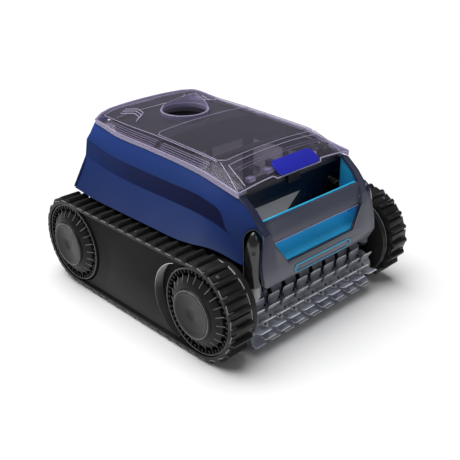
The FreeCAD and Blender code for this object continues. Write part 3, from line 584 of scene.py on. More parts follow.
@dataclass(frozen=True)
class Fascia(Banded):
    """The fascia's plastic: it turns to dark navy, painted shade, on the left pillar and at the outer edges.
    """

    edge_colour: Colour = (0.0, 0.0, 0.0)
    left: Pair = (-88.0, -99.0)
    right: Pair = (109.0, 114.0)
    fade: Pair = (112.0, 150.0)

    def tint(self, shade: Shade) -> Any:
        """The colour along the axis, with painted shade at the sides.

        Args:
            shade: The material's tree.

        Returns:
            A colour socket.
        """
        x, _, z = shade.axes()
        sides = (x * -1.0).ramp(-self.left[0], -self.left[1]).most(x.ramp(*self.right))
        return shade.blend(super().tint(shade), self.edge_colour, sides * z.ramp(*self.fade) * 0.85)


@dataclass(frozen=True)
class Clear(Finish):
    """See-through plastic: a tinted pane that shines more where it is seen edge on."""

    pane: Colour = (0.8, 0.76, 0.88)
    body: float = 0.14
    edge: float = 0.6
    rough: float = 0.07

    def build(self, shade: Shade) -> bpy.types.Material:
        """Build the nodes.

        Args:
            shade: The material's tree.

        Returns:
            The material.
        """
        haze = shade.noise(40.0, 3.0)
        inputs = {
            "Base Color": shade.blend(self.colour, tuple(c * 0.86 for c in self.colour), haze),
            "Roughness": haze * 0.05 + self.rough,
            "Coat Weight": 1.0,
            "Coat Roughness": 0.04,
            "Specular IOR Level": 0.6,
            "Normal": shade.bump(shade.noise(26.0, 2.0), 0.12),
        }
        solid = shade.add("ShaderNodeBsdfPrincipled", None, inputs)
        open_part = shade.add("ShaderNodeBsdfTransparent", None, {"Color": self.pane})
        share = (shade.facing(0.45) ** 2.2) * self.edge + self.body + haze * 0.03
        mixed = shade.add("ShaderNodeMixShader", None,
                          {0: share, 1: open_part.outputs[0], 2: solid.outputs[0]})
        return shade.close(mixed)


@dataclass(frozen=True)
class Woven(Finish):
    """Fine filter mesh: threads over small square holes."""

    pitch: float = 0.9
    cover: float = 0.72

    def build(self, shade: Shade) -> bpy.types.Material:
        """Build the nodes.

        Args:
            shade: The material's tree.

        Returns:
            The material.
        """
        x, y, z = shade.axes()
        turn = 2 * math.pi / self.pitch
        across = ((x + y) * turn).sin() * 0.5 + 0.5
        upward = (z * turn).sin() * 0.5 + 0.5
        threads = across.most(upward)
        inputs = {
            "Base Color": shade.blend(tuple(c * 0.55 for c in self.colour), self.colour, threads),
            "Roughness": 0.62,
            "Alpha": threads.ramp(0.2, 0.6) * (1 - self.cover) + self.cover,
            "Normal": shade.bump(threads, 0.15),
        }
        return shade.close(shade.add("ShaderNodeBsdfPrincipled", None, inputs))


class Look:
    """Every finish on the machine."""

    # Painted shade and light: the shell's blue is darker low on the side and lighter towards the top, where
    # more light falls.
    SHELL = Banded("shell_blue", "shell_blue", (0.014, 0.034, 0.14), other=(0.02, 0.042, 0.13), patch=160.0,
                   rough=0.46, rough_swing=0.06, grain=0.35, grain_height=0.012, scuff=0.04,
                   scuff_colour=(0.03, 0.06, 0.2), coat_rough=0.3, specular=0.14, low=150.0, high=255.0,
                   stops=((0.0, (0.008, 0.021, 0.09)), (0.3, (0.009, 0.025, 0.115)),
                          (0.55, (0.011, 0.032, 0.15)), (0.8, (0.014, 0.04, 0.19)),
                          (1.0, (0.014, 0.052, 0.28))))
    # Painted shade: a darker copy of the shell's blue for the middle band, darkest at the front and lighter
    # towards the rear.
    FLANK = Banded("shell_flank", "shell_blue", (0.008, 0.014, 0.06), other=(0.008, 0.013, 0.06),
                   patch=160.0, rough=0.5, rough_swing=0.06, grain=0.35, grain_height=0.012, scuff=0.03,
                   scuff_colour=(0.02, 0.03, 0.12), coat_rough=0.3, specular=0.08, axis=1, low=-200.0,
                   high=176.0, stops=((0.0, (0.004, 0.006, 0.036)), (0.35, (0.004, 0.007, 0.038)),
                                      (0.7, (0.006, 0.014, 0.07)), (1.0, (0.01, 0.026, 0.13))))
    # Painted reflection and shade: the fascia's grey darkens to navy towards the top.
    FASCIA = Fascia("fascia_grey", "fascia_grey", (0.06, 0.066, 0.09), other=(0.07, 0.075, 0.1), patch=70.0,
                    rough=0.4, rough_swing=0.08, grain=0.35, grain_height=0.015, scuff=0.06,
                    scuff_colour=(0.2, 0.2, 0.25), coat=0.15, coat_rough=0.25, low=100.0, high=222.0,
                    stops=((0.0, (0.095, 0.1, 0.135)), (0.35, (0.055, 0.06, 0.09)),
                           (1.0, (0.026, 0.03, 0.065))), edge_colour=(0.008, 0.012, 0.045))
    NAVY = Moulded("hull_navy", "hull_navy", (0.005, 0.007, 0.022), other=(0.007, 0.01, 0.03), patch=50.0,
                   rough=0.42, scuff=0.08, scuff_colour=(0.03, 0.04, 0.08), specular=0.2)
    # Painted light and shade: the cyan is brighter at the foot and top and darker at mid height, behind the
    # rail.
    LINER = Banded("liner_cyan", "liner_cyan", (0.02, 0.25, 0.6), other=(0.03, 0.32, 0.66),
                   rough_swing=0.06, grain=0.5, grain_height=0.01, scuff=0.03, scuff_colour=(0.2, 0.5, 0.7),
                   coat=0.3, low=124.0, high=214.0,
                   stops=((0.0, (0.016, 0.5, 0.95)), (0.35, (0.02, 0.22, 0.66)), (0.7, (0.026, 0.44, 0.86)),
                          (1.0, (0.04, 0.6, 0.98))))
    CYAN = Moulded("trim_cyan", "trim_cyan", (0.03, 0.42, 0.75), other=(0.04, 0.5, 0.8), patch=20.0,
                   rough=0.28, rough_swing=0.05, grain_height=0.01, scuff=0.02)
    BLACK = Moulded("black_plastic", "black_plastic", (0.01, 0.01, 0.011), other=(0.014, 0.014, 0.015),
                    patch=45.0, rough=0.42, rough_swing=0.12, grain=0.45, grain_height=0.03,
                    scuff_colour=(0.05, 0.05, 0.055), specular=0.18)
    RUBBER = Moulded("track_rubber", "track_rubber", (0.009, 0.009, 0.009), other=(0.015, 0.015, 0.015),
                     patch=30.0, rough=0.36, rough_swing=0.14, grain=0.6, grain_height=0.05, scuff=0.18,
                     scuff_colour=(0.05, 0.05, 0.05), specular=0.22)
    WHEEL = Moulded("wheel_plastic", "wheel_plastic", (0.009, 0.009, 0.009), other=(0.014, 0.014, 0.014),
                    patch=35.0, rough=0.36, grain=0.5, grain_height=0.03, scuff=0.14,
                    scuff_colour=(0.06, 0.06, 0.06), specular=0.16)
    HUB = Moulded("hub_plastic", "hub_plastic", (0.02, 0.02, 0.021), other=(0.026, 0.026, 0.027),
                  patch=35.0, rough=0.34, rough_swing=0.08, scuff_colour=(0.08, 0.08, 0.08), specular=0.2)
    PADDLE = Moulded("brush_rubber", "brush_rubber", (0.26, 0.275, 0.34), other=(0.36, 0.375, 0.44),
                     patch=24.0, rough=0.36, grain=0.5, grain_height=0.04, scuff=0.2,
                     scuff_colour=(0.5, 0.52, 0.58))
    TUBE = Moulded("brush_tube", "brush_tube", (0.3, 0.31, 0.35), other=(0.36, 0.37, 0.41), patch=26.0,
                   rough=0.4, grain=0.5, grain_height=0.03, scuff=0.15, scuff_colour=(0.5, 0.5, 0.55))
    LID = Clear("lid_clear", "lid_clear", (0.22, 0.21, 0.26), pane=(0.88, 0.86, 0.92), body=0.06, edge=0.32)
    RIM = Clear("lid_rim", "lid_clear", (0.5, 0.45, 0.66), pane=(0.8, 0.75, 0.92), body=0.5, edge=0.4)
    # Partly real, partly painted highlight: raised lines and edges of the lid in a lighter lilac.
    BEAD = Clear("lid_bead", "lid_clear", (0.62, 0.56, 0.76), pane=(0.85, 0.8, 0.95), body=0.55, edge=0.3)
    RACK = Moulded("rack_smoke", "lid_clear", (0.022, 0.02, 0.03), other=(0.03, 0.028, 0.04), patch=30.0,
                   rough_swing=0.06, grain_height=0.01, scuff=0.02, scuff_colour=(0.2, 0.18, 0.26))
    BADGE = Moulded("badge_blue", "badge_blue", (0.01, 0.013, 0.34), other=(0.012, 0.016, 0.4),
                    rough_swing=0.05, grain=0.8, grain_height=0.004, scuff=0.02,
                    scuff_colour=(0.1, 0.1, 0.5), coat=0.4, coat_rough=0.12)
    BEVEL = Moulded("window_bevel", "hull_navy", (0.004, 0.007, 0.022), other=(0.006, 0.01, 0.03),
                    rough_swing=0.06, grain_height=0.01, scuff=0.05, scuff_colour=(0.04, 0.06, 0.12),
                    coat=0.3)
    # Light grey for small edges and ribs on tracks and wheels: painted highlights where their edges catch the
    # light, with scuffs of real wear.
    WORN = Moulded("worn_edge", "track_rubber", (0.1, 0.1, 0.1), other=(0.2, 0.2, 0.2), patch=12.0,
                   rough=0.34, scuff=0.3, scuff_colour=(0.34, 0.34, 0.34))
    # Painted highlight: the recess wall runs from dark at its foot to near white at its top, where it catches
    # the light.
    CRESCENT = Banded("recess_grey", "black_plastic", (0.1, 0.1, 0.1), other=(0.08, 0.08, 0.08), patch=30.0,
                      rough=0.32, rough_swing=0.08, grain_height=0.01, scuff=0.05,
                      scuff_colour=(0.2, 0.2, 0.2), specular=0.2, low=20.0, high=125.0,
                      stops=((0.0, (0.03, 0.03, 0.03)), (0.5, (0.12, 0.12, 0.12)),
                             (1.0, (0.85, 0.85, 0.85))))
    # Painted reflection: the side covers are lighter at the foot, where they reflect the floor, and darken
    # towards the top.
    COVER = Banded("side_cover", "black_plastic", (0.02, 0.02, 0.02), other=(0.018, 0.018, 0.018),
                   patch=60.0, rough=0.5, rough_swing=0.08, grain=0.35, scuff=0.05,
                   scuff_colour=(0.04, 0.04, 0.04), specular=0.06, low=15.0, high=135.0,
                   stops=((0.0, (0.045, 0.045, 0.045)), (0.5, (0.014, 0.014, 0.014)),
                          (1.0, (0.005, 0.005, 0.005))))
    # Painted highlight: near white for the lit edges of the brush paddles.
    PALE = Moulded("brush_tips", "brush_rubber", (0.75, 0.77, 0.82), other=(0.85, 0.87, 0.9), patch=15.0,
                   rough=0.35, rough_swing=0.08, scuff_colour=(0.8, 0.8, 0.82))
    POD = Moulded("pod_black", "pod_black", (0.011, 0.011, 0.012), other=(0.014, 0.014, 0.015), rough=0.2,
                  rough_swing=0.06, grain=0.8, grain_height=0.006, scuff=0.06,
                  scuff_colour=(0.08, 0.08, 0.08), coat=0.5, coat_rough=0.08)
    TIP = Moulded("pod_tip_grey", "pod_tip_grey", (0.3, 0.3, 0.31), other=(0.36, 0.36, 0.37), patch=20.0,
                  rough=0.4, rough_swing=0.08, grain=0.5, scuff_colour=(0.5, 0.5, 0.5))
    STEEL = Moulded("steel", "steel", (0.5, 0.5, 0.51), other=(0.56, 0.56, 0.57), patch=20.0,
                    rough_swing=0.12, grain=0.3, grain_height=0.01, scuff_colour=(0.3, 0.3, 0.3),
                    metallic=1.0)
    MOTOR = Moulded("motor_can", "motor_can", (0.36, 0.36, 0.38), other=(0.42, 0.42, 0.44), patch=20.0,
                    rough=0.35, rough_swing=0.12, grain=0.3, scuff_colour=(0.25, 0.25, 0.25), metallic=1.0)
    SLEEVE = Moulded("battery_sleeve", "battery_sleeve", (0.01, 0.05, 0.2), other=(0.014, 0.07, 0.25),
                     patch=30.0, grain=0.5)
    BOARD = Moulded("board_green", "board_green", (0.006, 0.08, 0.03), other=(0.01, 0.11, 0.04), patch=9.0,
                    rough=0.35, grain=0.5, scuff_colour=(0.3, 0.25, 0.1))
    FOAM = Moulded("float_foam", "float_foam", (0.03, 0.03, 0.034), other=(0.045, 0.045, 0.05), patch=12.0,
                   rough=0.85, grain=1.2, grain_height=0.3)
    FILTER = Moulded("filter_navy", "filter_navy", (0.013, 0.013, 0.018), other=(0.018, 0.018, 0.024),
                     rough=0.4, scuff_colour=(0.05, 0.05, 0.06), specular=0.3)
    FRAME = Banded("filter_frame", "filter_navy", (0.013, 0.013, 0.018), other=(0.012, 0.013, 0.02),
                   rough=0.4, scuff_colour=(0.04, 0.04, 0.05), specular=0.25, axis=1, low=-145.0,
                   high=-118.0, stops=((0.0, (0.0015, 0.006, 0.02)), (0.5, (0.002, 0.007, 0.022)),
                                       (1.0, (0.014, 0.014, 0.018))))
    MESH = Woven("filter_mesh", "filter_mesh", (0.78, 0.76, 0.74))
    SEAL = Moulded("seal_rubber", "seal_rubber", (0.012, 0.012, 0.013), other=(0.018, 0.018, 0.02),
                   patch=20.0, rough=0.6, grain=0.5, grain_height=0.03)
    GEAR = Moulded("gear_acetal", "gear_acetal", (0.55, 0.55, 0.5), other=(0.6, 0.6, 0.55), patch=20.0,
                   rough=0.35, grain_height=0.01, scuff_colour=(0.3, 0.3, 0.3))


# ------------------------------------------------------------------ shapes


@dataclass(frozen=True)
class Spline:
    """A smooth curve through values at ordered knots."""

    knots: tuple[float, ...]
    values: tuple[float, ...]

    def slope(self, index: int) -> float:
        """Slope at a knot, from its neighbours."""
        low, high = max(index - 1, 0), min(index + 1, len(self.knots) - 1)
        return (self.values[high] - self.values[low]) / (self.knots[high] - self.knots[low])

    def __call__(self, place: float) -> float:
        """Value at a place; past the ends it runs on straight.

        Args:
            place: Where along the knots.

        Returns:
            The value there.
        """
        sign = 1 if self.knots[-1] > self.knots[0] else -1
        index = 0
        while index < len(self.knots) - 2 and sign * (place - self.knots[index + 1]) > 0:
            index += 1
        start, end = self.knots[index], self.knots[index + 1]
        span = end - start
        t = (place - start) / span
        a, b = self.values[index], self.values[index + 1]
        if t < 0:
            return a + self.slope(index) * span * t
        if t > 1:
            return b + self.slope(index + 1) * span * (t - 1)
        m0, m1 = self.slope(index) * span, self.slope(index + 1) * span
        t2, t3 = t * t, t * t * t
        return (2 * t3 - 3 * t2 + 1) * a + (t3 - 2 * t2 + t) * m0 + (3 * t2 - 2 * t3) * b + (t3 - t2) * m1


class Maker:
    """Collects a mesh in millimetres and turns it into an object in metres."""

    def __init__(self) -> None:
        """Start empty."""
        self.points: list[Point] = []
        self.faces: list[tuple[int, ...]] = []
        self.slots: list[int] = []

    def add_face(self, corners: Sequence[int], slot: int = 0) -> None:
        """Add a face.

        Args:
            corners: Numbers of its points.
            slot: Its material's number.
        """
        self.faces.append(tuple(corners))
        self.slots.append(slot)

    def grid(
        self, rows: Sequence[Sequence[Point]], loop: bool = False, ring: bool = False, caps: bool = False,
        slots: Callable[[int, int], int] | None = None,
    ) -> None:
        """Add a net of quads.

        Args:
            rows: Rows of points, all as long.
            loop: Join each row's last point to its first.
            ring: Join the last row to the first.
            caps: Close the first and last rows with one face each.
            slots: Material number from a quad's row and column.
        """
        first = len(self.points)
        width, count = len(rows[0]), len(rows)
        for row in rows:
            self.points.extend(row)
        for r in range(count if ring else count - 1):
            for c in range(width if loop else width - 1):
                a, b = first + r * width, first + ((r + 1) % count) * width
                d = (c + 1) % width
                self.add_face((a + c, a + d, b + d, b + c), slots(r, c) if slots else 0)
        if caps:
            self.add_face(range(first, first + width))
            self.add_face(range(first + (count - 1) * width, first + count * width))

    def block(self, low: Point, high: Point) -> None:
        """Add a box between two corners."""
        ring = [(low[0], low[1]), (high[0], low[1]), (high[0], high[1]), (low[0], high[1])]
        self.grid([[(x, y, z) for x, y in ring] for z in (low[2], high[2])], loop=True, caps=True)

    def prism(self, outline: Sequence[Point], along: Point) -> None:
        """Add a flat outline pushed along a vector."""
        moved = [tuple(p + a for p, a in zip(point, along)) for point in outline]
        self.grid([list(outline), moved], loop=True, caps=True)

    def turned_z(self, profile: Sequence[Pair], x: float, y: float, steps: int = 64) -> None:
        """Add a closed profile of (radius, z) turned about a vertical axis.

        Args:
            profile: The profile's corners in order.
            x: The axis's x.
            y: The axis's y.
            steps: Facets round.
        """
        angles = [2 * math.pi * k / steps for k in range(steps)]
        rows = [[(x + r * math.cos(a), y + r * math.sin(a), h) for r, h in profile] for a in angles]
        self.grid(rows, loop=True, ring=True)

    def build(self, name: str, *finishes: Finish, angle: float = 32.0,
              bevel: float = 0.0) -> bpy.types.Object:
        """Make the object.

        Args:
            name: The piece's name.
            finishes: Its materials in order.
            angle: Edges sharper than this, in degrees, stay sharp.
            bevel: Width of the rounding on its sharp edges.

        Returns:
            The piece, at the origin.
        """
        mesh = bpy.data.meshes.new(name)
        mesh.from_pydata([tuple(v * MM for v in p) for p in self.points], [], self.faces)
        for finish in finishes:
            mesh.materials.append(finish.material())
        mesh.polygons.foreach_set("material_index", self.slots)
        tidy(mesh, bevel, angle)
        return link(bpy.data.objects.new(name, mesh))


def tidy(mesh: bpy.types.Mesh, bevel: float, angle: float, flat: bool = False) -> None:
    """Merge doubles, point the faces outwards, round sharp edges and set the shading.

    Args:
        mesh: The mesh to work on.
        bevel: Width of the rounding in millimetres.
        angle: Edges sharper than this, in degrees, count as sharp.
        flat: Merge faces that lie in one plane first.
    """
    form = bmesh.new()
    form.from_mesh(mesh)
    bmesh.ops.remove_doubles(form, verts=form.verts, dist=0.00001)
    bmesh.ops.dissolve_degenerate(form, dist=0.000005, edges=form.edges)
    if flat:
        bmesh.ops.dissolve_limit(form, angle_limit=math.radians(0.6), verts=form.verts, edges=form.edges,
                                 delimit={"NORMAL"})
    bmesh.ops.recalc_face_normals(form, faces=form.faces)
    if bevel:
        limit = math.radians(angle)
        sharp = [e for e in form.edges if len(e.link_faces) == 2 and e.calc_face_angle(0.0) > limit]
        bmesh.ops.bevel(form, geom=sharp, offset=bevel * MM, segments=2, profile=0.6, affect="EDGES",
                        clamp_overlap=True)
    form.to_mesh(mesh)
    form.free()
    mesh.shade_smooth()
    mesh.set_sharp_from_angle(angle=math.radians(angle))


def tube(name: str, lines: Sequence[Sequence[Point]], radius: float, finish: Finish, round_by: float = 0.0,
         closed: bool = False) -> bpy.types.Object:
    """Make thin round beads along lines.

    Args:
        name: The piece's name.
        lines: Points of each line, in millimetres.
        radius: The bead's radius in millimetres.
        finish: What it is made of.
        round_by: How far the corners are rounded, in millimetres.
        closed: Join each line's ends.

    Returns:
        The piece as a mesh.
    """
    curve = bpy.data.curves.new(name + ".line", "CURVE")
    curve.dimensions = "3D"
    curve.bevel_depth = radius * MM
    curve.bevel_resolution = 2
    curve.use_fill_caps = True
    for line in lines:
        points = eased(line, round_by, closed) if round_by else line
        spline = curve.splines.new("POLY")
        spline.points.add(len(points) - 1)
        for slot, point in zip(spline.points, points):
            slot.co = (*(v * MM for v in point), 1.0)
        spline.use_cyclic_u = closed
    carrier = link(bpy.data.objects.new(name + ".line", curve))
    bpy.context.view_layer.update()
    mesh = bpy.data.meshes.new_from_object(carrier.evaluated_get(bpy.context.evaluated_depsgraph_get()))
    mesh.name = name
    bpy.data.objects.remove(carrier)
    mesh.materials.clear()
    mesh.materials.append(finish.material())
    tidy(mesh, 0.0, 50.0)
    return link(bpy.data.objects.new(name, mesh))


def eased(line: Sequence[Point], radius: float, closed: bool) -> list[Point]:
    """Round a line's corners.

    Args:
        line: The line's points.
        radius: How far from a corner the rounding starts.
        closed: The line's ends are joined.

    Returns:
        More points, with arcs in place of the corners.
    """
    out: list[Point] = []
    count = len(line)
    for index, point in enumerate(line):
        here = Vector(point)
        if not closed and index in (0, count - 1):
            out.append(point)
            continue
        before, after = Vector(line[index - 1]), Vector(line[(index + 1) % count])
        reach = min(radius, (before - here).length * 0.45, (after - here).length * 0.45)
        a, b = here + (before - here).normalized() * reach, here + (after - here).normalized() * reach
        for k in range(6):
            t = k / 5
            out.append(tuple(a * (1 - t) ** 2 + here * (2 * t * (1 - t)) + b * t ** 2))
    return out


def boolean(piece: bpy.types.Object, cutter: bpy.types.Object, angle: float = 32.0) -> None:
    """Cut one object out of another.

    Args:
        piece: What is cut.
        cutter: What is taken away; it is removed.
        angle: Edges sharper than this stay sharp.
    """
    modifier = piece.modifiers.new("cut", "BOOLEAN")
    modifier.operation = "DIFFERENCE"
    modifier.solver = "EXACT"
    modifier.object = cutter
    bpy.context.view_layer.update()
    mesh = bpy.data.meshes.new_from_object(piece.evaluated_get(bpy.context.evaluated_depsgraph_get()))
    piece.modifiers.clear()
    old = piece.data
    piece.data = mesh
    bpy.data.meshes.remove(old)
    bpy.data.objects.remove(cutter)
    mesh.shade_smooth()
    mesh.set_sharp_from_angle(angle=math.radians(angle))


@dataclass
class Machine:
    """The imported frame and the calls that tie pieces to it."""

    frame: Mapping[str, Any]

    def settle(self, piece: bpy.types.Object, body: str, finish: Finish, *nodes: str) -> bpy.types.Object:
        """Tie a piece to a body and the CAD nodes that it stands for.

        Args:
            piece: The piece.
            body: The CAD body it rides on.
            finish: Not used.
            nodes: CAD nodes that it replaces.

        Returns:
            The piece.
        """
        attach(piece, body)
        if nodes:
            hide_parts(*nodes)
        LOG.info("%s rides on %s", piece.name, body)
        return piece

    def refine(self, node: str, finish: Finish, bevel: float = 0.5, angle: float = 28.0) -> bpy.types.Object:
        """Make a softer-edged piece from a CAD node's own shape.

        Args:
            node: The CAD node.
            finish: What it is made of.
            bevel: Rounding of its edges in millimetres.
            angle: Edges sharper than this are rounded.

        Returns:
            The piece, which replaces the node.
        """
        source = self.frame["nodes"][node]
        mesh = source.data.copy()
        mesh.name = node + "_finished"
        mesh.materials.clear()
        mesh.materials.append(finish.material())
        tidy(mesh, bevel, angle, flat=True)
        piece = link(bpy.data.objects.new(node + "_finished", mesh))
        return self.settle(piece, source["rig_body"], finish, node)

    def body(self, node: str) -> str:
        """The body that a CAD node rides on."""
        return self.frame["nodes"][node]["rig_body"]

    def dress(self, node: str, finish: Finish) -> None:
        """Give a CAD node that stays its material.

        Args:
            node: The CAD node.
            finish: What it is made of.
        """
        thing = self.frame["nodes"][node]
        thing.data.materials.clear()
        thing.data.materials.append(finish.material())
        LOG.info("%s keeps its CAD shape", node)


# ------------------------------------------------------------------ studio


@dataclass
class Studio:
    """Floor, lights and camera."""

    eye: Point = (-745.98, -810.27, 612.36)
    turn: float = -43.211
    rise: float = 25.699
    roll: float = -1.046
    lens: float = 58.63
    sensor: float = 36.0
    reach: float = 6000.0
    sky: float = 3.5
    sky_angle: float = 62.0
    sky_from: Point = (-0.16, 0.2, 1.0)
    surround: float = 0.14
    rear_power: float = 2.5
    front_power: float = 3.0

    def camera(self) -> None:
        """Make the camera and set it as the scene's."""
        a, e, r = (math.radians(v) for v in (self.turn, self.rise, self.roll))
        back = Vector((math.sin(a) * math.cos(e), -math.cos(a) * math.cos(e), math.sin(e)))
        right = Vector((math.cos(a), math.sin(a), 0.0))
        up = back.cross(right)
        across = right * math.cos(r) + up * math.sin(r)
        upward = up * math.cos(r) - right * math.sin(r)
        data = bpy.data.cameras.new("camera")
        data.lens = self.lens
        data.sensor_width = self.sensor
        data.clip_start = 0.02
        camera = link(bpy.data.objects.new("camera", data))
        place = Matrix((across, upward, back)).transposed().to_4x4()
        place.translation = Vector(self.eye) * MM
        camera.matrix_world = place
        bpy.context.scene.camera = camera

    def floor(self) -> None:
        """Make the pale floor."""
        maker = Maker()
        r = self.reach
        maker.points = [(-r, -r, 0), (r, -r, 0), (r, r, 0), (-r, r, 0)]
        maker.add_face((0, 1, 2, 3))
        pale = Moulded("floor", "floor", (0.86, 0.86, 0.86), other=(0.87, 0.87, 0.87), patch=900.0,
                       rough=0.8, rough_swing=0.05, grain=6.0, scuff=0.0, specular=0.1)
        maker.build("floor", pale)

    def lamp(self, name: str, place: Point, aim: Point, size: Pair, power: float) -> None:
        """Add a soft box.

        Args:
            name: Its name.
            place: Where it stands, in metres.
            aim: What it points at, in metres.
            size: Width and height in metres.
            power: Watts.
        """
        data = bpy.data.lights.new(name, "AREA")
        data.shape = "RECTANGLE"
        data.size, data.size_y = size
        data.energy = power
        lamp = link(bpy.data.objects.new(name, data))
        lamp.location = place
        lamp.rotation_euler = (Vector(aim) - Vector(place)).to_track_quat("-Z", "Y").to_euler()

    def lights(self) -> None:
        """Soft boxes, a white surround and the plain view transform."""
        data = bpy.data.lights.new("sky panel", "SUN")
        data.energy = self.sky
        data.angle = math.radians(self.sky_angle)
        panel = link(bpy.data.objects.new("sky panel", data))
        panel.rotation_euler = Vector(self.sky_from).to_track_quat("Z", "Y").to_euler()
        self.lamp("rear left box", (-1.5, 1.3, 1.5), (0, 0, 0.15), (1.0, 0.8), self.rear_power)
        self.lamp("front box", (0.7, -2.3, 1.2), (0, -0.1, 0.12), (1.0, 0.7), self.front_power)
        world = bpy.data.worlds.new("surround")
        world.use_nodes = True
        background = world.node_tree.nodes["Background"]
        background.inputs["Color"].default_value = (1.0, 1.0, 1.0, 1.0)
        background.inputs["Strength"].default_value = self.surround
        bpy.context.scene.world = world
        bpy.context.scene.view_settings.view_transform = "Standard"
        bpy.context.scene.view_settings.look = "None"

    def build(self) -> None:
        """Set the stage."""
        self.camera()
        self.floor()
        self.lights()


# ------------------------------------------------------------------ upper body


@dataclass
class SideShells:
    """The two blue side shells, with creases that run together at the front corner."""

    wall: float = 3.0
    inner_limit: float = 113.9
    nose_from: float = -148.0
    pod_x: float = 119.4
    pod_y: float = -188.2
    pod_shoulder: float = 173.2
    recess: float = 14.6
    bands: tuple[int, int, int] = (6, 6, 8)
    bulge: tuple[float, float, float] = (0.8, -0.4, -1.6)
    ys: tuple[float, ...] = (176.0, 115.0, 45.0, -20.0, -80.0, -110.0, -132.0, -149.0, -165.0, -178.0,
                             -190.0, -199.0)
    top: tuple[Pair, ...] = (
        (110.5, 253.0), (112.5, 241.5), (112.8, 239.5), (112.8, 236.5), (112.8, 231.5), (112.8, 227.0),
        (113.0, 223.5), (114.2, 219.5), (114.7, 213.0), (114.7, 203.0), (114.7, 189.0), (114.7, 174.0),
    )
    upper: tuple[Pair, ...] = (
        (127.0, 228.0), (127.0, 216.0), (127.0, 212.5), (127.0, 210.8), (127.0, 210.0), (127.0, 205.5),
        (126.8, 198.0), (130.6, 176.0), (129.3, 168.4), (127.15, 163.9), (123.4, 158.0), (118.75, 150.05),
    )
    lower: tuple[Pair, ...] = (
        (132.0, 202.0), (132.5, 191.0), (132.5, 187.0), (132.5, 186.5), (132.5, 185.5), (132.3, 183.0),
        (131.8, 179.5), (130.8, 174.0), (129.4, 168.0), (127.2, 163.8), (123.4, 157.9), (118.8, 150.0),
    )
    bottom: tuple[Pair, ...] = (
        (160.0, 154.5), (166.0, 154.5), (166.0, 154.0), (166.0, 154.0), (166.0, 154.0), (161.0, 154.0),
        (152.0, 153.0), (147.0, 150.5), (142.5, 146.0), (138.0, 141.0), (130.0, 136.0), (120.6, 132.0),
    )

    def edge(self, table: Sequence[Pair], y: float) -> Pair:
        """x and z of one long edge.

        Args:
            table: The edge's x and z at each station.
            y: Where along the shell.

        Returns:
            x and z there.
        """
        return tuple(Spline(self.ys, tuple(pair[axis] for pair in table))(y) for axis in (0, 1))

    def section(self, y: float) -> list[Pair]:
        """Outer points of a section from the top edge down.

        Args:
            y: Where along the shell.

        Returns:
            x and z of each point.
        """
        corners = [self.edge(table, y) for table in (self.top, self.upper, self.lower, self.bottom)]
        points = [corners[0]]
        for (a, b), steps, bulge in zip(zip(corners, corners[1:]), self.bands, self.bulge):
            dx, dz = b[0] - a[0], b[1] - a[1]
            length = max(math.hypot(dx, dz), 1e-6)
            swell = bulge * min(1.0, length / 20.0)
            for k in range(1, steps + 1):
                t = k / steps
                rise = swell * 4 * t * (1 - t)
                points.append((a[0] + dx * t - dz / length * rise, a[1] + dz * t + dx / length * rise))
        return points

    def shell(self, side: Side) -> bpy.types.Object:
        """Build one shell.

        Args:
            side: Which side.

        Returns:
            The closed shell, not yet cut for its pod.
        """
        maker = Maker()
        rows = []
        stations = [176.0 - 5.0 * k for k in range(65)] + [-146.5 - 2.5 * k for k in range(22)]
        for y in stations:
            outer = [(side.value * x, y, z) for x, z in self.section(y)]
            limit = self.inner_limit if y < self.nose_from else 0.0
            inner = [(side.value * max(abs(x) - self.wall, min(limit, abs(x) - 0.3)), y, z)
                     for x, _, z in outer]
            rows.append(outer + inner[::-1])
        # The middle band takes the darker copy of the blue, which is painted shade.
        start, end = self.bands[0], self.bands[0] + self.bands[1]
        maker.grid(rows, loop=True, caps=True, slots=lambda _, column: int(start <= column < end))
        return maker.build("shell_" + side.word, Look.SHELL, Look.FLANK, angle=9.0)

    def recess_cutter(self, side: Side) -> bpy.types.Object:
        """The space that the pod stands in."""
        maker = Maker()
        r = self.recess
        dome = [(r * math.cos(a), self.pod_shoulder + r * math.sin(a))
                for a in (math.pi / 2 * k / 10 for k in range(10))]
        maker.turned_z([(0.01, 70.0), (r, 70.0), *dome, (0.01, self.pod_shoulder + r)],
                       side.value * self.pod_x, self.pod_y, 40)
        return maker.build("cutter", Look.NAVY)

    def socket(self, side: Side) -> bpy.types.Object:
        """The dark trough behind a pod: half of a round-topped cup."""
        maker = Maker()
        inner, outer = self.recess - 1.0, self.recess - 0.1
        quarter = [math.pi / 2 * k / 8 for k in range(9)]

        def rise(r: float) -> list[Pair]:
            """Profile of the cup's wall, from its foot to its top."""
            return [(r, 90.0)] + [(max(r * math.cos(a), 0.2), self.pod_shoulder + r * math.sin(a))
                                  for a in quarter]

        profile = rise(inner) + rise(outer)[::-1]
        rows = []
        for k in range(33):
            a = math.radians(-72.0 + 222.0 * k / 32)
            rows.append([(side.value * (self.pod_x - r * math.cos(a)), self.pod_y + r * math.sin(a), z)
                         for r, z in profile])
        maker.grid(rows, loop=True, caps=True)
        return maker.build("pod_socket_" + side.word, Look.BEVEL, angle=40.0)

    def build(self, machine: Machine) -> None:
        """Build both shells.

        Args:
            machine: The frame.
        """
        for side in Side:
            piece = self.shell(side)
            boolean(piece, self.recess_cutter(side), 20.0)
            machine.settle(piece, "hull", Look.SHELL, "side_shell_" + side.word)
            machine.settle(self.socket(side), "hull", Look.BEVEL)


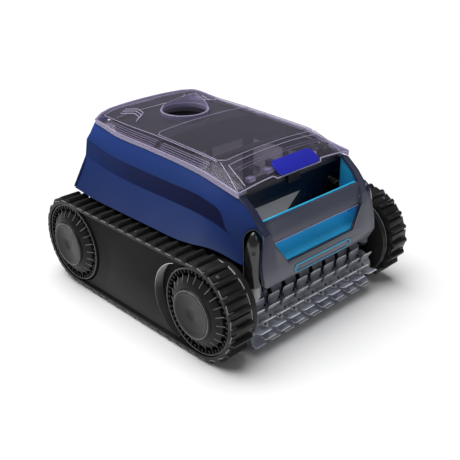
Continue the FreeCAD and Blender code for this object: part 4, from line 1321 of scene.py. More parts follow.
@dataclass
class Lid:
    """The clear lid with its rim, raised lines, racks, cowl and badge."""

    thick: float = 2.0
    ys: tuple[float, ...] = (185.0, 150.0, 113.0, 40.0, -20.0, -80.0, -105.0, -142.0, -157.0)
    rim_x: tuple[float, ...] = (113.2, 113.4, 113.4, 113.4, 113.4, 113.6, 114.4, 116.0, 116.9)
    rim_low: tuple[float, ...] = (255.0, 249.0, 242.5, 240.3, 237.5, 232.5, 228.7, 223.0, 221.0)
    rim_top: tuple[float, ...] = (260.5, 256.0, 250.0, 247.0, 244.5, 241.0, 237.5, 231.0, 228.6)
    shoulder_x: tuple[float, ...] = (98.0, 98.5, 98.5, 98.0, 97.5, 97.5, 97.0, 96.0, 96.0)
    shoulder_z: tuple[float, ...] = (265.0, 263.5, 261.5, 260.0, 258.0, 255.0, 252.0, 238.5, 230.8)
    centre_z: tuple[float, ...] = (268.5, 267.5, 266.0, 264.5, 262.5, 260.0, 257.0, 245.5, 235.5)
    outlet_y: float = 84.5
    outlet_r: float = 39.3
    rack_x: float = 102.0
    rack_pitch: float = 5.0
    rack_drop: float = 7.5
    rim_thick: float = 2.3
    outlet_z: float = 268.2
    badge_top: Point = (38.3, -141.8, 249.4)
    badge_low: Point = (39.3, -164.0, 234.2)
    badge_half: float = 13.5
    badge_corner: float = 7.5

    def at(self, table: Sequence[float], y: float) -> float:
        """A size of the lid's section at a place along it."""
        return Spline(self.ys, tuple(table))(y)

    def height(self, x: float, y: float) -> float:
        """Height of the lid's outer face.

        Args:
            x: Where across.
            y: Where along.

        Returns:
            z there.
        """
        x = abs(x)
        sx, sz, cz = self.at(self.shoulder_x, y), self.at(self.shoulder_z, y), self.at(self.centre_z, y)
        if x <= sx:
            return cz - (cz - sz) * (x / sx) ** 2.4
        rx, rz = self.at(self.rim_x, y), self.at(self.rim_top, y)
        return sz + (rz - sz) * (x - sx) / max(rx - sx, 0.1)

    def rear_y(self, x: float) -> float:
        """y of the lid's rear edge at x."""
        x = abs(x)
        return 185.4 - 2.4 * (x / 78) ** 2 if x < 78 else 183.0 - (x - 78) * 11.7 / 35.4

    def front_y(self, x: float) -> float:
        """y of the lid's front edge at x: the tongue under the badge stands forward."""
        return -157.0 - 5.0 * (1 - min(1.0, max(0.0, (abs(x) - 43.0) / 5.0)))

    def stations(self, y: float) -> list[float]:
        """x of the points of a row, from left to right."""
        rx, sx = self.at(self.rim_x, y), self.at(self.shoulder_x, y)
        half = [rx, rx - 2.0, rx - 6.0, sx + 3.0, sx, sx - 4.0, 86.0, 78.0, 66.0, 54.0, 49.0, 46.0, 43.0,
                34.0, 22.0, 11.0]
        return [-x for x in half] + [0.0] + half[::-1]

    def skin(self) -> bpy.types.Object:
        """The main pane: a closed thin skin over the whole top, with the outlet hole."""
        shares = [k / 66 for k in range(67)]
        rows = []
        for share in shares:
            base = self.ys[0] - share * (self.ys[0] - self.ys[-1])
            row = []
            for x in self.stations(base):
                y = self.rear_y(x) + (self.front_y(x) - self.rear_y(x)) * share
                row.append((x, y, self.height(x, y)))
            rows.append(row + [(x * 0.99, y, z - self.thick) for x, y, z in reversed(row)])
        maker = Maker()
        maker.grid(rows, loop=True, caps=True)
        piece = maker.build("lid_skin", Look.LID, angle=24.0)
        hole = Maker()
        hole.turned_z([(0.01, 240.0), (self.outlet_r, 240.0), (self.outlet_r, 290.0), (0.01, 290.0)], 0.0,
                      self.outlet_y, 96)
        boolean(piece, hole.build("cutter", Look.LID), 24.0)
        return piece

    def rim(self) -> bpy.types.Object:
        """The bright band that stands on the side shells and turns round the rear."""
        path = [(self.at(self.rim_x, y), y) for y in [-157.0 + 8.0 * k for k in range(41)]]
        path += [(113.2, 171.3), (100.0, 175.7), (88.0, 179.7), (78.0, 183.0), (60.0, 184.0), (30.0, 185.1),
                 (0.0, 185.4)]
        outline = [(-x, y) for x, y in path] + [(x, y) for x, y in reversed(path[:-1])]
        rows = []
        for x, y in outline:
            low = self.at(self.rim_low, y)
            top = self.height(x, y) + 0.25
            low = low if abs(x) > 112 else top - 6.0
            inner = 1.0 - self.rim_thick / max(abs(x), 60.0)
            drop = self.rim_thick if y > 170 else 0.0
            rows.append([(x, y, low), (x, y, top - 1.0), (x * (1 - 0.6 / 113), y - drop * 0.2, top),
                         (x * inner, y - drop, top - 0.2), (x * inner, y - drop, low)])
        maker = Maker()
        maker.grid(rows, loop=True, caps=True)
        return maker.build("lid_rim", Look.RIM, angle=40.0)

    def on(self, x: float, y: float, lift: float = 0.2) -> Point:
        """A point on the lid's outer face.

        Args:
            x: Where across.
            y: Where along.
            lift: How far above the face.

        Returns:
            The point.
        """
        return (x, y, self.height(x, y) + lift)

    def run(self, corners: Sequence[Pair], lift: float = 0.2) -> list[Point]:
        """A line laid on the lid through corners in x and y, with points every few millimetres.

        Args:
            corners: The line's corners.
            lift: How far above the face.

        Returns:
            Points on the face.
        """
        out = []
        for (x0, y0), (x1, y1) in zip(corners, corners[1:]):
            steps = max(2, int(math.hypot(x1 - x0, y1 - y0) / 6))
            out += [self.on(x0 + (x1 - x0) * k / steps, y0 + (y1 - y0) * k / steps, lift)
                    for k in range(steps)]
        return out + [self.on(*corners[-1], lift)]

    def beads(self) -> list[bpy.types.Object]:
        """Raised lines on the lid: panel outlines, chevrons, edges and the front lip, in a lighter lilac that
        paints their highlights.
        """
        fine, bold = [], []
        panel = [(-86, 40), (-95, 34), (-96.5, -96), (-88, -104.5), (88, -104.5), (96.5, -96), (95, 34),
                 (86, 40)]
        fine.append(self.run(panel + [panel[0]]))
        fine.append(self.run([(-92, -114), (92, -114)]))
        fine.append(self.run([(-100, 164), (-98.5, 40), (-98.5, -98)]))
        fine.append(self.run([(100, 164), (98.5, 40), (98.5, -98)]))
        fine.append(self.run([(-100, 164), (-74, 172), (74, 172), (100, 164)]))
        for sign in (-1, 1):
            fine.append(self.run([(sign * 97.5, -104), (sign * 104, -128), (sign * 114.5, -154)]))
            fine.append(self.run([(sign * 92, -114), (sign * 97, -136), (sign * 99, -153)]))
        for sign in (-1, 1):
            for k in range(3):
                x, y = 79.0 - 8.0 * k, 149.0 + 5.0 * k
                corners = [(x, y), (x - 15.0, y - 16.0), (x - 11.0, y - 34.0), (x + 5.0, y - 47.0)]
                bold.append(self.run([(sign * a, along) for a, along in corners]))
            bold.append(self.run([(sign * 113.2, 168), (sign * 113.2, -60), (sign * 116.4, -156.5)], -0.2))
        lip = [(-116.4, -156.6), (-50, -156.8), (-45, -161.6), (45, -161.6), (50, -156.8), (116.4, -156.6)]
        bold.append(self.run(lip, -0.6))
        bold.append(self.run([(-113, 171.3), (-78, 182.6), (-40, 184.6), (0, 185.2), (40, 184.6), (78, 182.6),
                              (113, 171.3)], -0.4))
        ring = [(96 + 4.5 * math.cos(a), -122 + 4.5 * math.sin(a))
                for a in (2 * math.pi * k / 20 for k in range(21))]
        fine.append(self.run(ring))
        return [tube("lid_lines", fine, 0.65, Look.BEAD), tube("lid_edges", bold, 1.0, Look.BEAD)]

    def rack_part(self) -> bpy.types.Object:
        """One low rib of a rack, before it is placed."""
        maker = Maker()
        maker.prism([(-2.4, -0.9, 0), (2.4, -0.9, 0), (2.4, -0.5, 1.8), (-2.4, -0.5, 1.8)], (0, 1.2, 0))
        return maker.build("rack_rib", Look.RACK, bevel=0.15)

    def racks(self) -> list[bpy.types.Object]:
        """Long ridges and rows of ribs under the two shoulders."""
        lines = []
        for sign in (-1, 1):
            for start, end in ((150.0, 28.0), (15.0, -86.0)):
                for k in range(4):
                    x = sign * (101.0 + 2.6 * k)
                    steps = 14
                    ys = [start + (end - start) * i / steps for i in range(steps + 1)]
                    lines.append([(x, y, self.height(x, y) - 3.2) for y in ys])
        pieces = [tube("rack_ridges", lines, 0.55, Look.BEAD)]
        for sign in (-1, 1):
            for tag, start, end in (("rear", 27.0, 150.0), ("front", -88.0, 15.0)):
                count = int((end - start) / self.rack_pitch)
                foot = self.height(self.rack_x, start)
                base, slope = foot - self.rack_drop, (self.height(self.rack_x, end) - foot) / (end - start)
                pattern = Pattern("rack", Count=count, Pitch=self.rack_pitch * MM,
                                  Across=sign * self.rack_x * MM, Start=start * MM,
                                  Base=base * MM, Slope=slope)
                along = pattern.index * pattern.size("Pitch")
                place = (pattern.size("Across"), pattern.size("Start") + along,
                         pattern.size("Base") + along * pattern.size("Slope"))
                pattern.scatter(pattern.size("Count"), place, (0.0, 0.0, 0.0), Look.RACK.material())
                name = f"rack_ribs_{tag}_{'left' if sign < 0 else 'right'}"
                pieces.append(pattern.grow(name, self.rack_part()))
        return pieces

    def shade(self, name: str, corners: Sequence[Pair], drop: float) -> bpy.types.Object:
        """A thin dark plate that follows the lid's underside: painted shade, standing in for the shade seen
        through the clear lid.

        Args:
            name: The piece's name.
            corners: Left and right x of its ends, from the first y to the last, as (x0, x1) and (y0, y1).
            drop: How far under the lid's outer face it lies.

        Returns:
            The plate.
        """
        (x0, x1), (y0, y1) = corners
        rows = []
        for k in range(25):
            y = y0 + (y1 - y0) * k / 24
            xs = [x0 + (x1 - x0) * i / 12 for i in range(13)]
            top = [(x, y, self.height(x, y) - drop) for x in xs]
            rows.append(top + [(x, y, z - 1.2) for x, y, z in reversed(top)])
        maker = Maker()
        maker.grid(rows, loop=True, caps=True)
        return maker.build(name, Look.RACK, angle=40.0)

    def shades(self) -> list[bpy.types.Object]:
        """Dark plates of painted shade under the rear edge and under the two racks."""
        rear = self.shade("rear_shade", ((-96.0, 96.0), (152.0, 178.0)), 4.0)
        sides = [self.shade("rack_tray_" + side.word,
                            ((side.value * 97.0, side.value * 111.5), (-154.0, 168.0)), 8.6)
                 for side in Side]
        return [rear, *sides]

    def catches(self) -> list[bpy.types.Object]:
        """Small parts under the lid's front: dark blocks, frosted boxes and a fine-ribbed bar."""
        dark, frosted = Maker(), Maker()
        for x, half in ((-62.0, 7.0), (62.0, 7.0), (-30.0, 5.0), (86.0, 6.0)):
            z = self.height(x, -130.0)
            dark.block((x - half, -137.0, z - 12.0), (x + half, -127.0, z - 3.5))
        for x in (-80.0, -46.0, 46.0):
            z = self.height(x, -142.0)
            frosted.block((x - 6.0, -148.0, z - 9.5), (x + 6.0, -139.0, z - 3.2))
        bar = []
        for reach, y, drop in ((88, -121.0, 3.4), (84, -125.5, 3.6)):
            xs = [-reach + 2 * reach * k / 40 for k in range(41)]
            bar.append([(x, y, self.height(x, y) - drop) for x in xs])
        return [dark.build("catch_blocks", Look.RACK, bevel=0.5),
                frosted.build("frosted_boxes", Look.RIM, bevel=0.5),
                tube("front_ridges", bar, 0.5, Look.BEAD)]

    def badge(self) -> bpy.types.Object:
        """The plain blue plate: a rounded slab that bends with the tongue."""
        maker = Maker()
        top, low, tall = self.badge_top, self.badge_low, self.badge_half
        corner = self.badge_corner
        rows = []
        for k in range(13):
            v = k / 12
            y = top[1] + (low[1] - top[1]) * v
            z = top[2] + (low[2] - top[2]) * v + 1.3 * math.sin(math.pi * v)
            reach = abs(v - 0.5) * 2 * tall
            cut = max(0.0, reach - (tall - corner))
            inset = corner - math.sqrt(max(corner ** 2 - cut ** 2, 0.0))
            half = top[0] + 3.4 + (low[0] - top[0]) * v - inset
            front = [(half * (i / 10 - 1), y, z) for i in range(21)]
            rows.append(front + [(x, y + 1.4, z - 2.0) for x, y, z in reversed(front)])
        maker.grid(rows, loop=True, caps=True)
        return maker.build("badge", Look.BADGE, bevel=0.6, angle=40.0)

    def cowl_edge(self) -> bpy.types.Object:
        """Bright bead round the outlet's foot: a painted highlight."""
        r = self.outlet_r - 0.9
        ring = [(r * math.cos(a), self.outlet_y + r * math.sin(a), self.outlet_z) for a in
                (2 * math.pi * k / 72 for k in range(72))]
        return tube("outlet_bead", [ring], 0.9, Look.BEAD, closed=True)

    def build(self, machine: Machine) -> None:
        """Build the lid.

        Args:
            machine: The frame.
        """
        machine.settle(self.skin(), "lid", Look.LID, "lid")
        machine.settle(self.rim(), "lid", Look.RIM)
        for piece in self.beads():
            machine.settle(piece, "lid", Look.BEAD)
        racks = self.racks()
        machine.settle(racks[0], "lid", Look.BEAD, "vent_racks")
        for piece in racks[1:]:
            machine.settle(piece, "lid", Look.RACK)
        for piece in self.shades():
            machine.settle(piece, "lid", Look.RACK)
        for piece in self.catches():
            machine.settle(piece, "lid", Look.RACK)
        machine.settle(self.badge(), "lid", Look.BADGE, "badge_plate")
        machine.settle(self.cowl_edge(), "lid", Look.BEAD)
        machine.refine("outlet_cowl", Look.RIM, 0.5, 40.0)


# ------------------------------------------------------------------ front


@dataclass
class Front:
    """Trim of the front: window bevels, the cyan edges and the strip's outline."""

    profile: tuple[Pair, ...] = (
        (221.0, -158.0), (205.0, -178.0), (191.0, -190.0), (176.0, -199.0), (162.0, -203.5), (141.0, -206.0),
        (116.0, -210.0), (102.5, -206.0),
    )
    strip: tuple[Pair, ...] = ((-60.8, 113.4), (-54.6, 106.8), (54.0, 106.8), (61.2, 115.6), (56.5, 119.4),
                               (-57.0, 119.4))
    rail_top: Point = (98.5, -184.2, 191.0)
    rail_foot: Point = (92.0, -198.2, 160.0)

    def face_y(self, z: float) -> float:
        """y of the fascia's outer face at a height."""
        return Spline(tuple(p[0] for p in self.profile), tuple(p[1] for p in self.profile))(z)

    def sill(self) -> bpy.types.Object:
        """The dark bevel that runs down the window's right side, along its foot and up its left side."""
        rows = []
        spine = [(96.0, 161.5), (95.2, 158.0)]
        spine += [(93.5 - 20.5 * k / 6, 157.0 - 28.0 * k / 6) for k in range(7)]
        spine += [(70.0, 125.6), (66.0, 124.6), (0.0, 124.4), (-66.0, 124.6), (-70.0, 125.6)]
        spine += [(-73.0 - 20.5 * k / 6, 129.0 + 28.0 * k / 6) for k in range(7)]
        spine += [(-95.2, 158.0), (-96.0, 161.5)]
        for index, (x, z) in enumerate(spine):
            before, after = spine[max(index - 1, 0)], spine[min(index + 1, len(spine) - 1)]
            dx, dz = after[0] - before[0], after[1] - before[1]
            length = math.hypot(dx, dz)
            nx, nz = dz / length, -dx / length
            wide = 5.6 if z < 128 else (4.4 if x > 0 else 1.4)
            y = self.face_y(z)
            rows.append([(x, y + 7.0, z), (x, y + 1.0, z), (x + nx * 0.8, y - 0.35, z + nz * 0.8),
                         (x + nx * wide, y - 0.35, z + nz * wide), (x + nx * wide, y + 2.0, z + nz * wide),
                         (x + nx * 1.0, y + 7.0, z + nz * 1.0)])
        maker = Maker()
        maker.grid(rows, loop=True, caps=True)
        return maker.build("window_bevel", Look.BEVEL, angle=30.0)

    def strip_outline(self) -> bpy.types.Object:
        """Cyan bead round the blank strip."""
        line = [(x, self.face_y(z) - 0.25, z) for x, z in self.strip]
        return tube("strip_outline", [line], 0.85, Look.CYAN, round_by=1.8, closed=True)

    def rail_lines(self) -> list[bpy.types.Object]:
        """The cyan line on the rail's top edge and the light line along its lower edge, a painted highlight.
        """
        lines = (("rail_line", self.rail_top, 0.65, Look.CYAN),
                 ("rail_foot_line", self.rail_foot, 0.4, Look.BEAD))
        return [tube(name, [[(-x, y, z), (x, y, z)]], thick, finish)
                for name, (x, y, z), thick, finish in lines]

    def build(self, machine: Machine) -> None:
        """Build the trim.

        Args:
            machine: The frame.
        """
        machine.settle(self.sill(), "hull", Look.BEVEL)
        machine.settle(self.strip_outline(), "hull", Look.CYAN)
        for piece in self.rail_lines():
            machine.settle(piece, "hull", Look.CYAN)


# ------------------------------------------------------------------ running gear


@dataclass
class Tracks:
    """The two rubber tracks: a belt, its lugs, and the light marks (painted highlights) and rivets on them.
    """

    axle_y: float = 150.0
    axle_z: float = 75.8
    belt_r: float = 69.0
    inner_r: float = 64.6
    lug_r: float = 75.8
    outer_x: float = 192.8
    inner_x: float = 154.5
    lugs: int = 48

    def belt(self, side: Side) -> bpy.types.Object:
        """The plain band.

        Args:
            side: Which side.

        Returns:
            The closed band.
        """
        s = side.value
        profile = [(self.outer_x, self.inner_r), (self.outer_x, self.belt_r - 0.8),
                   (self.outer_x - 0.8, self.belt_r), (self.outer_x - 12.0, self.belt_r + 0.05),
                   (self.inner_x + 0.8, self.belt_r), (self.inner_x, self.belt_r - 0.8),
                   (self.inner_x, self.inner_r)]
        rows = []
        for sign in (-1, 1):
            for k in range(49):
                a = math.pi / 2 + math.pi * k / 48 + (math.pi if sign > 0 else 0.0)
                rows.append([(s * x, sign * self.axle_y + r * math.cos(a), self.axle_z + r * math.sin(a))
                             for x, r in profile])
        maker = Maker()
        maker.grid(rows, loop=True, ring=True)
        return maker.build("belt_" + side.word, Look.RUBBER, angle=30.0)

    def round_belt(self, name: str, count: int, shift: float, part: bpy.types.Object,
                   finish: Finish) -> bpy.types.Object:
        """Set copies of a part out along the belt.

        Args:
            name: The new piece's name.
            count: How many copies.
            shift: How far the first one is moved along the belt, in millimetres.
            part: The part, with its foot on the XY plane.
            finish: What the copies are made of.

        Returns:
            The new piece.
        """
        run, half = 2 * self.axle_y, math.pi * self.belt_r
        pattern = Pattern(name, Count=count, Run=run * MM, Half=half * MM, Radius=self.belt_r * MM,
                          Shift=(self.axle_y + shift) * MM, Centre=self.axle_y * MM, Height=self.axle_z * MM)
        long, arc, radius = pattern.size("Run"), pattern.size("Half"), pattern.size("Radius")
        length = (long + arc) * 2.0
        s = (pattern.index * (length / pattern.size("Count")) + pattern.size("Shift")) % length
        first = (s - long).most(0.0).least(arc)
        second = (s - long * 2.0 - arc).most(0.0).least(arc)
        turn = (first + second) / radius
        angle = turn + math.pi / 2
        back = (s - long - arc).most(0.0).least(long)
        y = pattern.size("Centre") - s.least(long) + back + radius * angle.cos()
        z = pattern.size("Height") + radius * angle.sin()
        pattern.scatter(pattern.size("Count"), (0.0, y, z), (turn, 0.0, 0.0), finish.material())
        return pattern.grow(name, part)

    def lug(self, side: Side) -> bpy.types.Object:
        """One lug: a bar with a sloped outer end, and the low plate in front of it."""
        s, height = side.value, self.lug_r - self.belt_r
        maker = Maker()
        rows = []
        for x, top, grow in ((self.outer_x, 2.0, 1.0), (self.outer_x - 3.6, height, 0.0),
                             (self.inner_x + 2.0, height, 0.0), (self.inner_x, height - 2.0, 0.4)):
            rows.append([(s * x, -4.2 - grow, -1.0), (s * x, -3.9 - grow, 0.6), (s * x, -2.2, top),
                         (s * x, 2.2, top), (s * x, 3.9 + grow, 0.6), (s * x, 4.2 + grow, -1.0)])
        maker.grid(rows, loop=True, caps=True)
        a, b = sorted((s * (self.inner_x + 1.5), s * (self.outer_x - 1.5)))
        maker.block((a, 6.4, -0.8), (b, 15.6, 0.8))
        return maker.build("lug", Look.RUBBER, bevel=0.45, angle=30.0)

    def mark(self, side: Side) -> bpy.types.Object:
        """The thin raised hook at a lug's outer end, in light grey: a painted highlight on the edge."""
        s = side.value
        x0, x1, x2 = s * (self.outer_x + 0.15), s * (self.outer_x - 1.0), s * (self.outer_x - 9.0)
        maker = Maker()
        for low, high in (((min(x0, x1), 4.0, -0.6), (max(x0, x1), 16.2, 0.75)),
                          ((min(x0, x2), 3.6, -0.6), (max(x0, x2), 4.6, 1.3))):
            maker.block(low, high)
        return maker.build("mark", Look.WORN, bevel=0.15)

    def rivet(self, side: Side) -> bpy.types.Object:
        """A small ring on the belt's face."""
        maker = Maker()
        maker.turned_z([(1.2, -0.5), (2.2, -0.5), (2.2, 1.25), (1.7, 1.5), (1.2, 1.25)], side.value * 180.0,
                       11.0, 20)
        return maker.build("rivet", Look.WORN)

    def build(self, machine: Machine) -> None:
        """Build both tracks.

        Args:
            machine: The frame.
        """
        for side in Side:
            node = "track_" + side.word
            body = machine.body(node)
            machine.settle(self.belt(side), body, Look.RUBBER, node)
            lugs = self.round_belt("lugs_" + side.word, self.lugs, 0.0, self.lug(side), Look.RUBBER)
            machine.settle(lugs, body, Look.RUBBER)
            marks = self.round_belt("marks_" + side.word, self.lugs, 0.0, self.mark(side), Look.WORN)
            machine.settle(marks, body, Look.WORN)
            rivets = self.round_belt("rivets_" + side.word, self.lugs // 8, 21.5, self.rivet(side), Look.WORN)
            machine.settle(rivets, body, Look.WORN)


@dataclass
class WheelTrim:
    """What a wheel shows beside its CAD shape: raised ribs on the cone, teeth in the windows, edge beads;
    ribs and beads are light grey, painted highlights.
    """

    ribs: int = 24
    teeth: int = 48
    axle_y: float = 150.0
    axle_z: float = 75.8
    window_r: float = 60.8
    cap_bead_r: float = 34.6
    cap_x: float = 201.3
    rim_bead_r: float = 62.9
    face_x: float = 190.0

    def around(self, name: str, count: int, place: Place, part: bpy.types.Object,
               finish: Finish) -> bpy.types.Object:
        """Set copies of a part out round a wheel's axle.

        Args:
            name: The new piece's name.
            count: How many copies.
            place: Which wheel of its side.
            part: The part, drawn round the X axis with its first copy up +Z.
            finish: What the copies are made of.

        Returns:
            The new piece.
        """
        pattern = Pattern(name, Count=count, Along=place.value * self.axle_y * MM, Height=self.axle_z * MM)
        turn = pattern.index * (2 * math.pi / pattern.size("Count"))
        position = (0.0, pattern.size("Along"), pattern.size("Height"))
        pattern.scatter(pattern.size("Count"), position, (turn, 0.0, 0.0), finish.material())
        return pattern.grow(name, part)

    def rib(self, side: Side) -> bpy.types.Object:
        """A thin raised blade on the cone, in light grey: a painted highlight."""
        s = side.value
        outline = [(s * 189.0, -0.55, 54.5), (s * 190.9, -0.55, 51.0), (s * 195.0, -0.55, 44.6),
                   (s * 193.6, -0.55, 44.0), (s * 186.0, -0.55, 53.5)]
        maker = Maker()
        maker.prism(outline, (0.0, 1.1, 0.0))
        return maker.build("rib", Look.WORN, bevel=0.12)

    def tooth(self, side: Side) -> bpy.types.Object:
        """A short tooth inside the wheel's outer ring."""
        a, b = sorted((side.value * 180.0, side.value * (self.face_x - 0.4)))
        maker = Maker()
        maker.block((a, -1.4, self.window_r - 4.2), (b, 1.4, self.window_r + 0.6))
        return maker.build("tooth", Look.WHEEL, bevel=0.3)

    def ring(self, name: str, radius: float, x: float, thick: float, side: Side,
             place: Place) -> bpy.types.Object:
        """A thin light bead round the axle: a painted highlight on an edge.

        Args:
            name: The piece's name.
            radius: Its radius.
            x: How far out it is.
            thick: Half of its thickness.
            side: Which side.
            place: Which wheel.

        Returns:
            The bead.
        """
        angles = [2 * math.pi * k / 96 for k in range(96)]
        line = [(side.value * x, place.value * self.axle_y + radius * math.cos(a),
                 self.axle_z + radius * math.sin(a)) for a in angles]
        return tube(name, [line], thick, Look.WORN, closed=True)

    def build(self, machine: Machine) -> None:
        """Build the trim of all four wheels.

        Args:
            machine: The frame.
        """
        beads = (("cap_bead_", self.cap_bead_r, self.cap_x, 0.6),
                 ("wheel_bead_", self.rim_bead_r, self.face_x - 0.1, 0.55))
        for side in Side:
            for place in Place:
                tag = f"{place.word}_{side.word}"
                body = machine.body("wheel_" + tag)
                ribs = self.around("cone_ribs_" + tag, self.ribs, place, self.rib(side), Look.WORN)
                machine.settle(ribs, body, Look.WORN)
                teeth = self.around("window_teeth_" + tag, self.teeth, place, self.tooth(side), Look.WHEEL)
                machine.settle(teeth, body, Look.WHEEL)
                for name, radius, x, thick in beads:
                    machine.settle(self.ring(name + tag, radius, x, thick, side, place), body, Look.WORN)


@dataclass
class SideTrim:
    """The corner pods, and what lies beside the wheels: recess walls, infills and the lips of the guards."""

    pod_x: float = 119.4
    pod_y: float = -188.2
    tip: tuple[Pair, ...] = ((0.01, 80.2), (4.4, 80.2), (6.6, 81.4), (8.8, 85.0), (10.2, 90.0), (10.8, 94.5),
                             (11.2, 105.0), (0.01, 105.0))
    pod: tuple[Pair, ...] = ((0.01, 105.0), (12.2, 105.0), (12.8, 110.0), (13.0, 120.0), (13.0, 140.0),
                             (12.8, 148.0), (12.2, 156.0), (11.2, 163.0), (9.8, 169.5), (8.0, 175.0),
                             (5.8, 179.6), (3.2, 183.2), (0.01, 184.8))
    screw_z: float = 158.0
    recess_y: float = -117.5
    recess_z: float = 71.8
    recess_r: float = 61.0
    wall_x: tuple[float, float, float] = (187.15, 187.3, 173.4)
    infill_x: Pair = (186.9, 173.5)
    infill_r: float = 66.4
    lip_x: float = 149.2
    lip_r: float = 64.2
    axle_y: float = -150.0
    axle_z: float = 75.8

    def recess_wall(self, side: Side) -> bpy.types.Object:
        """A thin strip on the rear half of the cover's round recess, with a painted highlight on its upper
        part.
        """
        rows = []
        for k in range(37):
            t = k / 36
            a = math.radians(-74.0 + 148.0 * t)
            thick = 0.25 + 0.55 * math.sin(math.pi * t)
            ring = []
            edge, face, floor = self.wall_x
            near, far = self.recess_r - thick, self.recess_r + 0.4
            for x, r in ((edge, far), (face, near), (floor, near), (floor, far)):
                ring.append((side.value * x, self.recess_y + r * math.cos(a),
                             self.recess_z + r * math.sin(a)))
            rows.append(ring)
        maker = Maker()
        maker.grid(rows, loop=True, caps=True)
        return maker.build("recess_wall_" + side.word, Look.CRESCENT, angle=35.0)

    def infill(self, side: Side) -> bpy.types.Object:
        """The plate that brings the cover up to the rear wheel: the recess less the wheel's own space."""
        cy, cz, cr = -self.recess_y, self.recess_z, self.recess_r + 0.3
        wy, wz, wr = -self.axle_y, self.axle_z, self.infill_r
        gap = math.hypot(wy - cy, wz - cz)
        toward = math.atan2(wz - cz, wy - cy)
        along = (cr * cr - wr * wr + gap * gap) / (2 * gap)
        outer, inner = math.acos(along / cr), math.acos((gap - along) / wr)
        rows = []
        for k in range(49):
            t = k / 48
            a = toward + outer + (2 * math.pi - 2 * outer) * t
            b = toward + math.pi - inner + 2 * inner * t
            far = (cy + cr * math.cos(a), cz + cr * math.sin(a))
            near = (wy + wr * math.cos(b), wz + wr * math.sin(b))
            face, floor = self.infill_x
            corners = ((face, far), (face, near), (floor, near), (floor, far))
            rows.append([(side.value * x, *point) for x, point in corners])
        maker = Maker()
        maker.grid(rows, loop=True, caps=True)
        return maker.build("cover_infill_" + side.word, Look.COVER, angle=35.0)

    def guard_edge(self, side: Side) -> bpy.types.Object:
        """The rounded edge of a guard's lip, in light grey: a painted highlight."""
        angles = [2 * math.pi * k / 120 for k in range(120)]
        line = [(side.value * self.lip_x, self.axle_y + self.lip_r * math.cos(a),
                 self.axle_z + self.lip_r * math.sin(a)) for a in angles]
        return tube("guard_edge_" + side.word, [line], 1.25, Look.TIP, closed=True)

    def pod_tip(self, side: Side) -> bpy.types.Object:
        """The tapered foot of a pod; the right one is dark."""
        maker = Maker()
        maker.turned_z(self.tip, side.value * self.pod_x, self.pod_y, 48)
        finish = Look.TIP if side is Side.LEFT else Look.BLACK
        return maker.build("pod_tip_" + side.word, finish, angle=40.0)

    def pod_body(self, side: Side) -> bpy.types.Object:
        """The long glossy bullet above the tip."""
        maker = Maker()
        maker.turned_z(self.pod, side.value * self.pod_x, self.pod_y, 64)
        return maker.build("pod_" + side.word, Look.POD, angle=40.0)

    def pod_screw(self, side: Side) -> bpy.types.Object:
        """The screw in a pod's face: a ring, a sunk head and its slot, turned to face outwards."""
        maker = Maker()
        maker.turned_z([(1.7, -1.5), (2.7, -1.5), (2.7, 0.35), (2.2, 0.55), (1.7, 0.35)], 0.0, 0.0, 28)
        maker.block((-1.5, -0.3, -1.0), (1.5, 0.3, 0.25))
        piece = maker.build("pod_screw_" + side.word, Look.HUB)
        outward = Vector((side.value, -1.0, 0.0)).normalized()
        seat = Vector((side.value * self.pod_x, self.pod_y, self.screw_z)) + outward * 12.0
        turn = (outward + Vector((0.0, 0.0, 0.14))).to_track_quat("Z", "Y").to_matrix().to_4x4()
        piece.data.transform(Matrix.Translation(seat * MM) @ turn)
        return piece

    def build(self, machine: Machine) -> None:
        """Build both sides.

        Args:
            machine: The frame.
        """
        for side in Side:
            machine.settle(self.pod_body(side), machine.body("corner_pod_" + side.word), Look.POD,
                           "corner_pod_" + side.word)
            machine.settle(self.pod_screw(side), machine.body("corner_pod_" + side.word), Look.HUB)
        machine.settle(self.pod_tip(Side.LEFT), "hull", Look.TIP, "pod_tips")
        machine.settle(self.pod_tip(Side.RIGHT), "hull", Look.TIP)
        for side in Side:
            machine.settle(self.recess_wall(side), "hull", Look.CRESCENT)
            machine.settle(self.infill(side), "hull", Look.COVER)
            machine.settle(self.guard_edge(side), "hull", Look.TIP)


# ------------------------------------------------------------------ brush


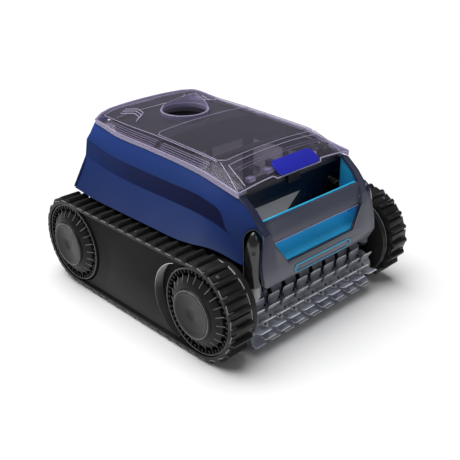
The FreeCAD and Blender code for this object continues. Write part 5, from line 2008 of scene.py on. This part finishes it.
@dataclass
class Brush:
    """The front brush: rows of bent rubber paddles with painted highlights on their tips, on a tube with
    drain holes.
    """

    axis_y: float = -175.858
    axis_z: float = 40.2
    rows: int = 16
    columns: int = 9
    width: float = 21.0
    pitch: float = 30.0
    start: float = -132.0
    shift: float = 12.0
    end: float = 134.0
    core_r: float = 22.0
    tip_r: float = 39.0

    def set_out(self, name: str, part: bpy.types.Object, finish: Finish) -> bpy.types.Object:
        """Set copies of a paddle part out in staggered rows.

        Args:
            name: The new piece's name.
            part: The part, at the left end of its paddle, pointing up +Z.
            finish: What the copies are made of.

        Returns:
            The new piece.
        """
        pattern = Pattern(name, Rows=self.rows, Columns=self.columns, Pitch=self.pitch * MM,
                          Start=self.start * MM, Shift=self.shift * MM,
                          End=(self.end - self.width + 0.1) * MM, Across=self.axis_y * MM,
                          Height=self.axis_z * MM)
        row = (pattern.index / pattern.size("Columns")).floor()
        column = pattern.index - row * pattern.size("Columns")
        x = pattern.size("Start") + pattern.size("Shift") * (row % 2.0) + column * pattern.size("Pitch")
        turn = row * (2 * math.pi / pattern.size("Rows"))
        count = pattern.size("Rows") * pattern.size("Columns")
        position = (x, pattern.size("Across"), pattern.size("Height"))
        pattern.scatter(count, position, (turn, 0.0, 0.0), finish.material(), x < pattern.size("End"))
        return pattern.grow(name, part)

    def paddle(self) -> bpy.types.Object:
        """One bent paddle with a narrow root."""
        maker = Maker()
        steps = ((0.12, -1.4, 20.8, 2.0), (0.1, -1.2, 24.0, 1.6), (0.02, -0.9, 27.0, 1.2),
                 (0.0, -0.4, 30.0, 1.1), (0.0, 0.3, 33.0, 1.05), (0.0, 1.1, 36.0, 1.0),
                 (0.03, 1.7, self.tip_r - 0.5, 0.8))
        rows = []
        for inset, lean, radius, half in steps:
            x0, x1 = self.width * inset, self.width * (1 - inset)
            rows.append([(x0, lean - half, radius), (x1, lean - half, radius), (x1, lean + half, radius),
                         (x0, lean + half, radius)])
        maker.grid(rows, loop=True, caps=True)
        return maker.build("paddle", Look.PADDLE, bevel=0.25, angle=40.0)

    def edge(self) -> bpy.types.Object:
        """The light bead along a paddle's tip and side: a painted highlight on its lit edge."""
        line = [(0.9, 1.7, self.tip_r - 0.6), (self.width - 0.9, 1.7, self.tip_r - 0.6)]
        side = [(0.3, -0.2, 31.0), (0.3, 1.6, self.tip_r - 1.2)]
        return tube("paddle_edge", [line, side], 0.75, Look.PALE)

    def hole(self) -> bpy.types.Object:
        """A drain hole, drawn as a dark disc flush with the tube: painted shade in place of the hole."""
        maker = Maker()
        maker.turned_z([(0.01, self.core_r - 1.5), (2.3, self.core_r - 1.5), (2.3, self.core_r + 0.25),
                        (0.01, self.core_r + 0.25)], self.width + 4.5, 0.0, 20)
        return maker.build("drain_hole", Look.SEAL)

    def build(self, machine: Machine) -> None:
        """Build the brush.

        Args:
            machine: The frame.
        """
        body = machine.body("brush_paddles")
        machine.settle(self.set_out("paddles", self.paddle(), Look.PADDLE), body, Look.PADDLE,
                       "brush_paddles")
        machine.settle(self.set_out("paddle_edges", self.edge(), Look.PALE), body, Look.PALE)
        machine.settle(self.set_out("drain_holes", self.hole(), Look.SEAL), body, Look.SEAL)


# ------------------------------------------------------------------ the rest


@dataclass
class PlainParts:
    """CAD parts whose own shape is right: their edges are softened and they get their finish."""

    refined: tuple[tuple[str, Finish, float], ...] = (
        ("chassis_tub", Look.NAVY, 0.8), ("rear_shell", Look.SHELL, 0.7), ("deck_frame", Look.FILTER, 0.4),
        ("front_fascia", Look.FASCIA, 0.8), ("front_liner", Look.LINER, 0.5), ("rail_lip", Look.CYAN, 0.3),
        ("fascia_strip", Look.FASCIA, 0.3), ("filter_frame", Look.FRAME, 0.5),
        ("side_cover_left", Look.COVER, 0.8), ("side_cover_right", Look.COVER, 0.8),
        ("drive_guard_left", Look.BLACK, 0.6), ("drive_guard_right", Look.BLACK, 0.6),
        ("pod_cradles", Look.NAVY, 0.4), ("turbine_duct", Look.FILTER, 0.4),
        ("outlet_grille", Look.HUB, 0.3), ("lid_latch", Look.BLACK, 0.4), ("charge_cap", Look.BLACK, 0.6),
        ("charge_port", Look.BLACK, 0.4), ("power_button", Look.HUB, 0.6), ("motor_block", Look.BLACK, 0.8),
        ("motor_block_cover", Look.BLACK, 0.6), ("battery_pack", Look.SLEEVE, 0.8),
        ("float_blocks", Look.FOAM, 1.0), ("inlet_flap", Look.BLACK, 0.4), ("impeller", Look.BLACK, 0.4),
        ("brush_pinion", Look.GEAR, 0.2), ("pump_motor", Look.MOTOR, 0.5),
        ("drive_motors", Look.MOTOR, 0.5), ("lid_seal", Look.SEAL, 0.4),
        *((f"wheel_{place.word}_{side.word}", Look.WHEEL, 0.4) for place in Place for side in Side),
        *((f"hub_cap_{place.word}_{side.word}", Look.HUB, 0.3) for place in Place for side in Side),
    )
    kept: tuple[tuple[str, Finish], ...] = (
        ("screws", Look.STEEL), ("hinge_pin", Look.STEEL), ("brush_shaft", Look.STEEL),
        ("drive_shaft_left", Look.STEEL), ("drive_shaft_right", Look.STEEL), ("front_stub_axles", Look.STEEL),
        ("axle_bushes", Look.GEAR), ("brush_bearings", Look.GEAR), ("control_board", Look.BOARD),
        ("filter_mesh", Look.MESH), ("brush_core", Look.TUBE),
    )

    def build(self, machine: Machine) -> None:
        """Finish every part in the two lists.

        Args:
            machine: The frame.
        """
        for node, finish, bevel in self.refined:
            machine.refine(node, finish, bevel)
        for node, finish in self.kept:
            machine.dress(node, finish)


def main() -> None:
    """Build every sub-assembly in order."""
    logging.basicConfig(level=logging.INFO, format="%(message)s")
    machine = Machine(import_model())
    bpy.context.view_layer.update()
    Studio().build()
    for assembly in (SideShells(), Lid(), Front(), Tracks(), WheelTrim(), SideTrim(), Brush(), PlainParts()):
        assembly.build(machine)


if __name__ == "__main__":
    main()
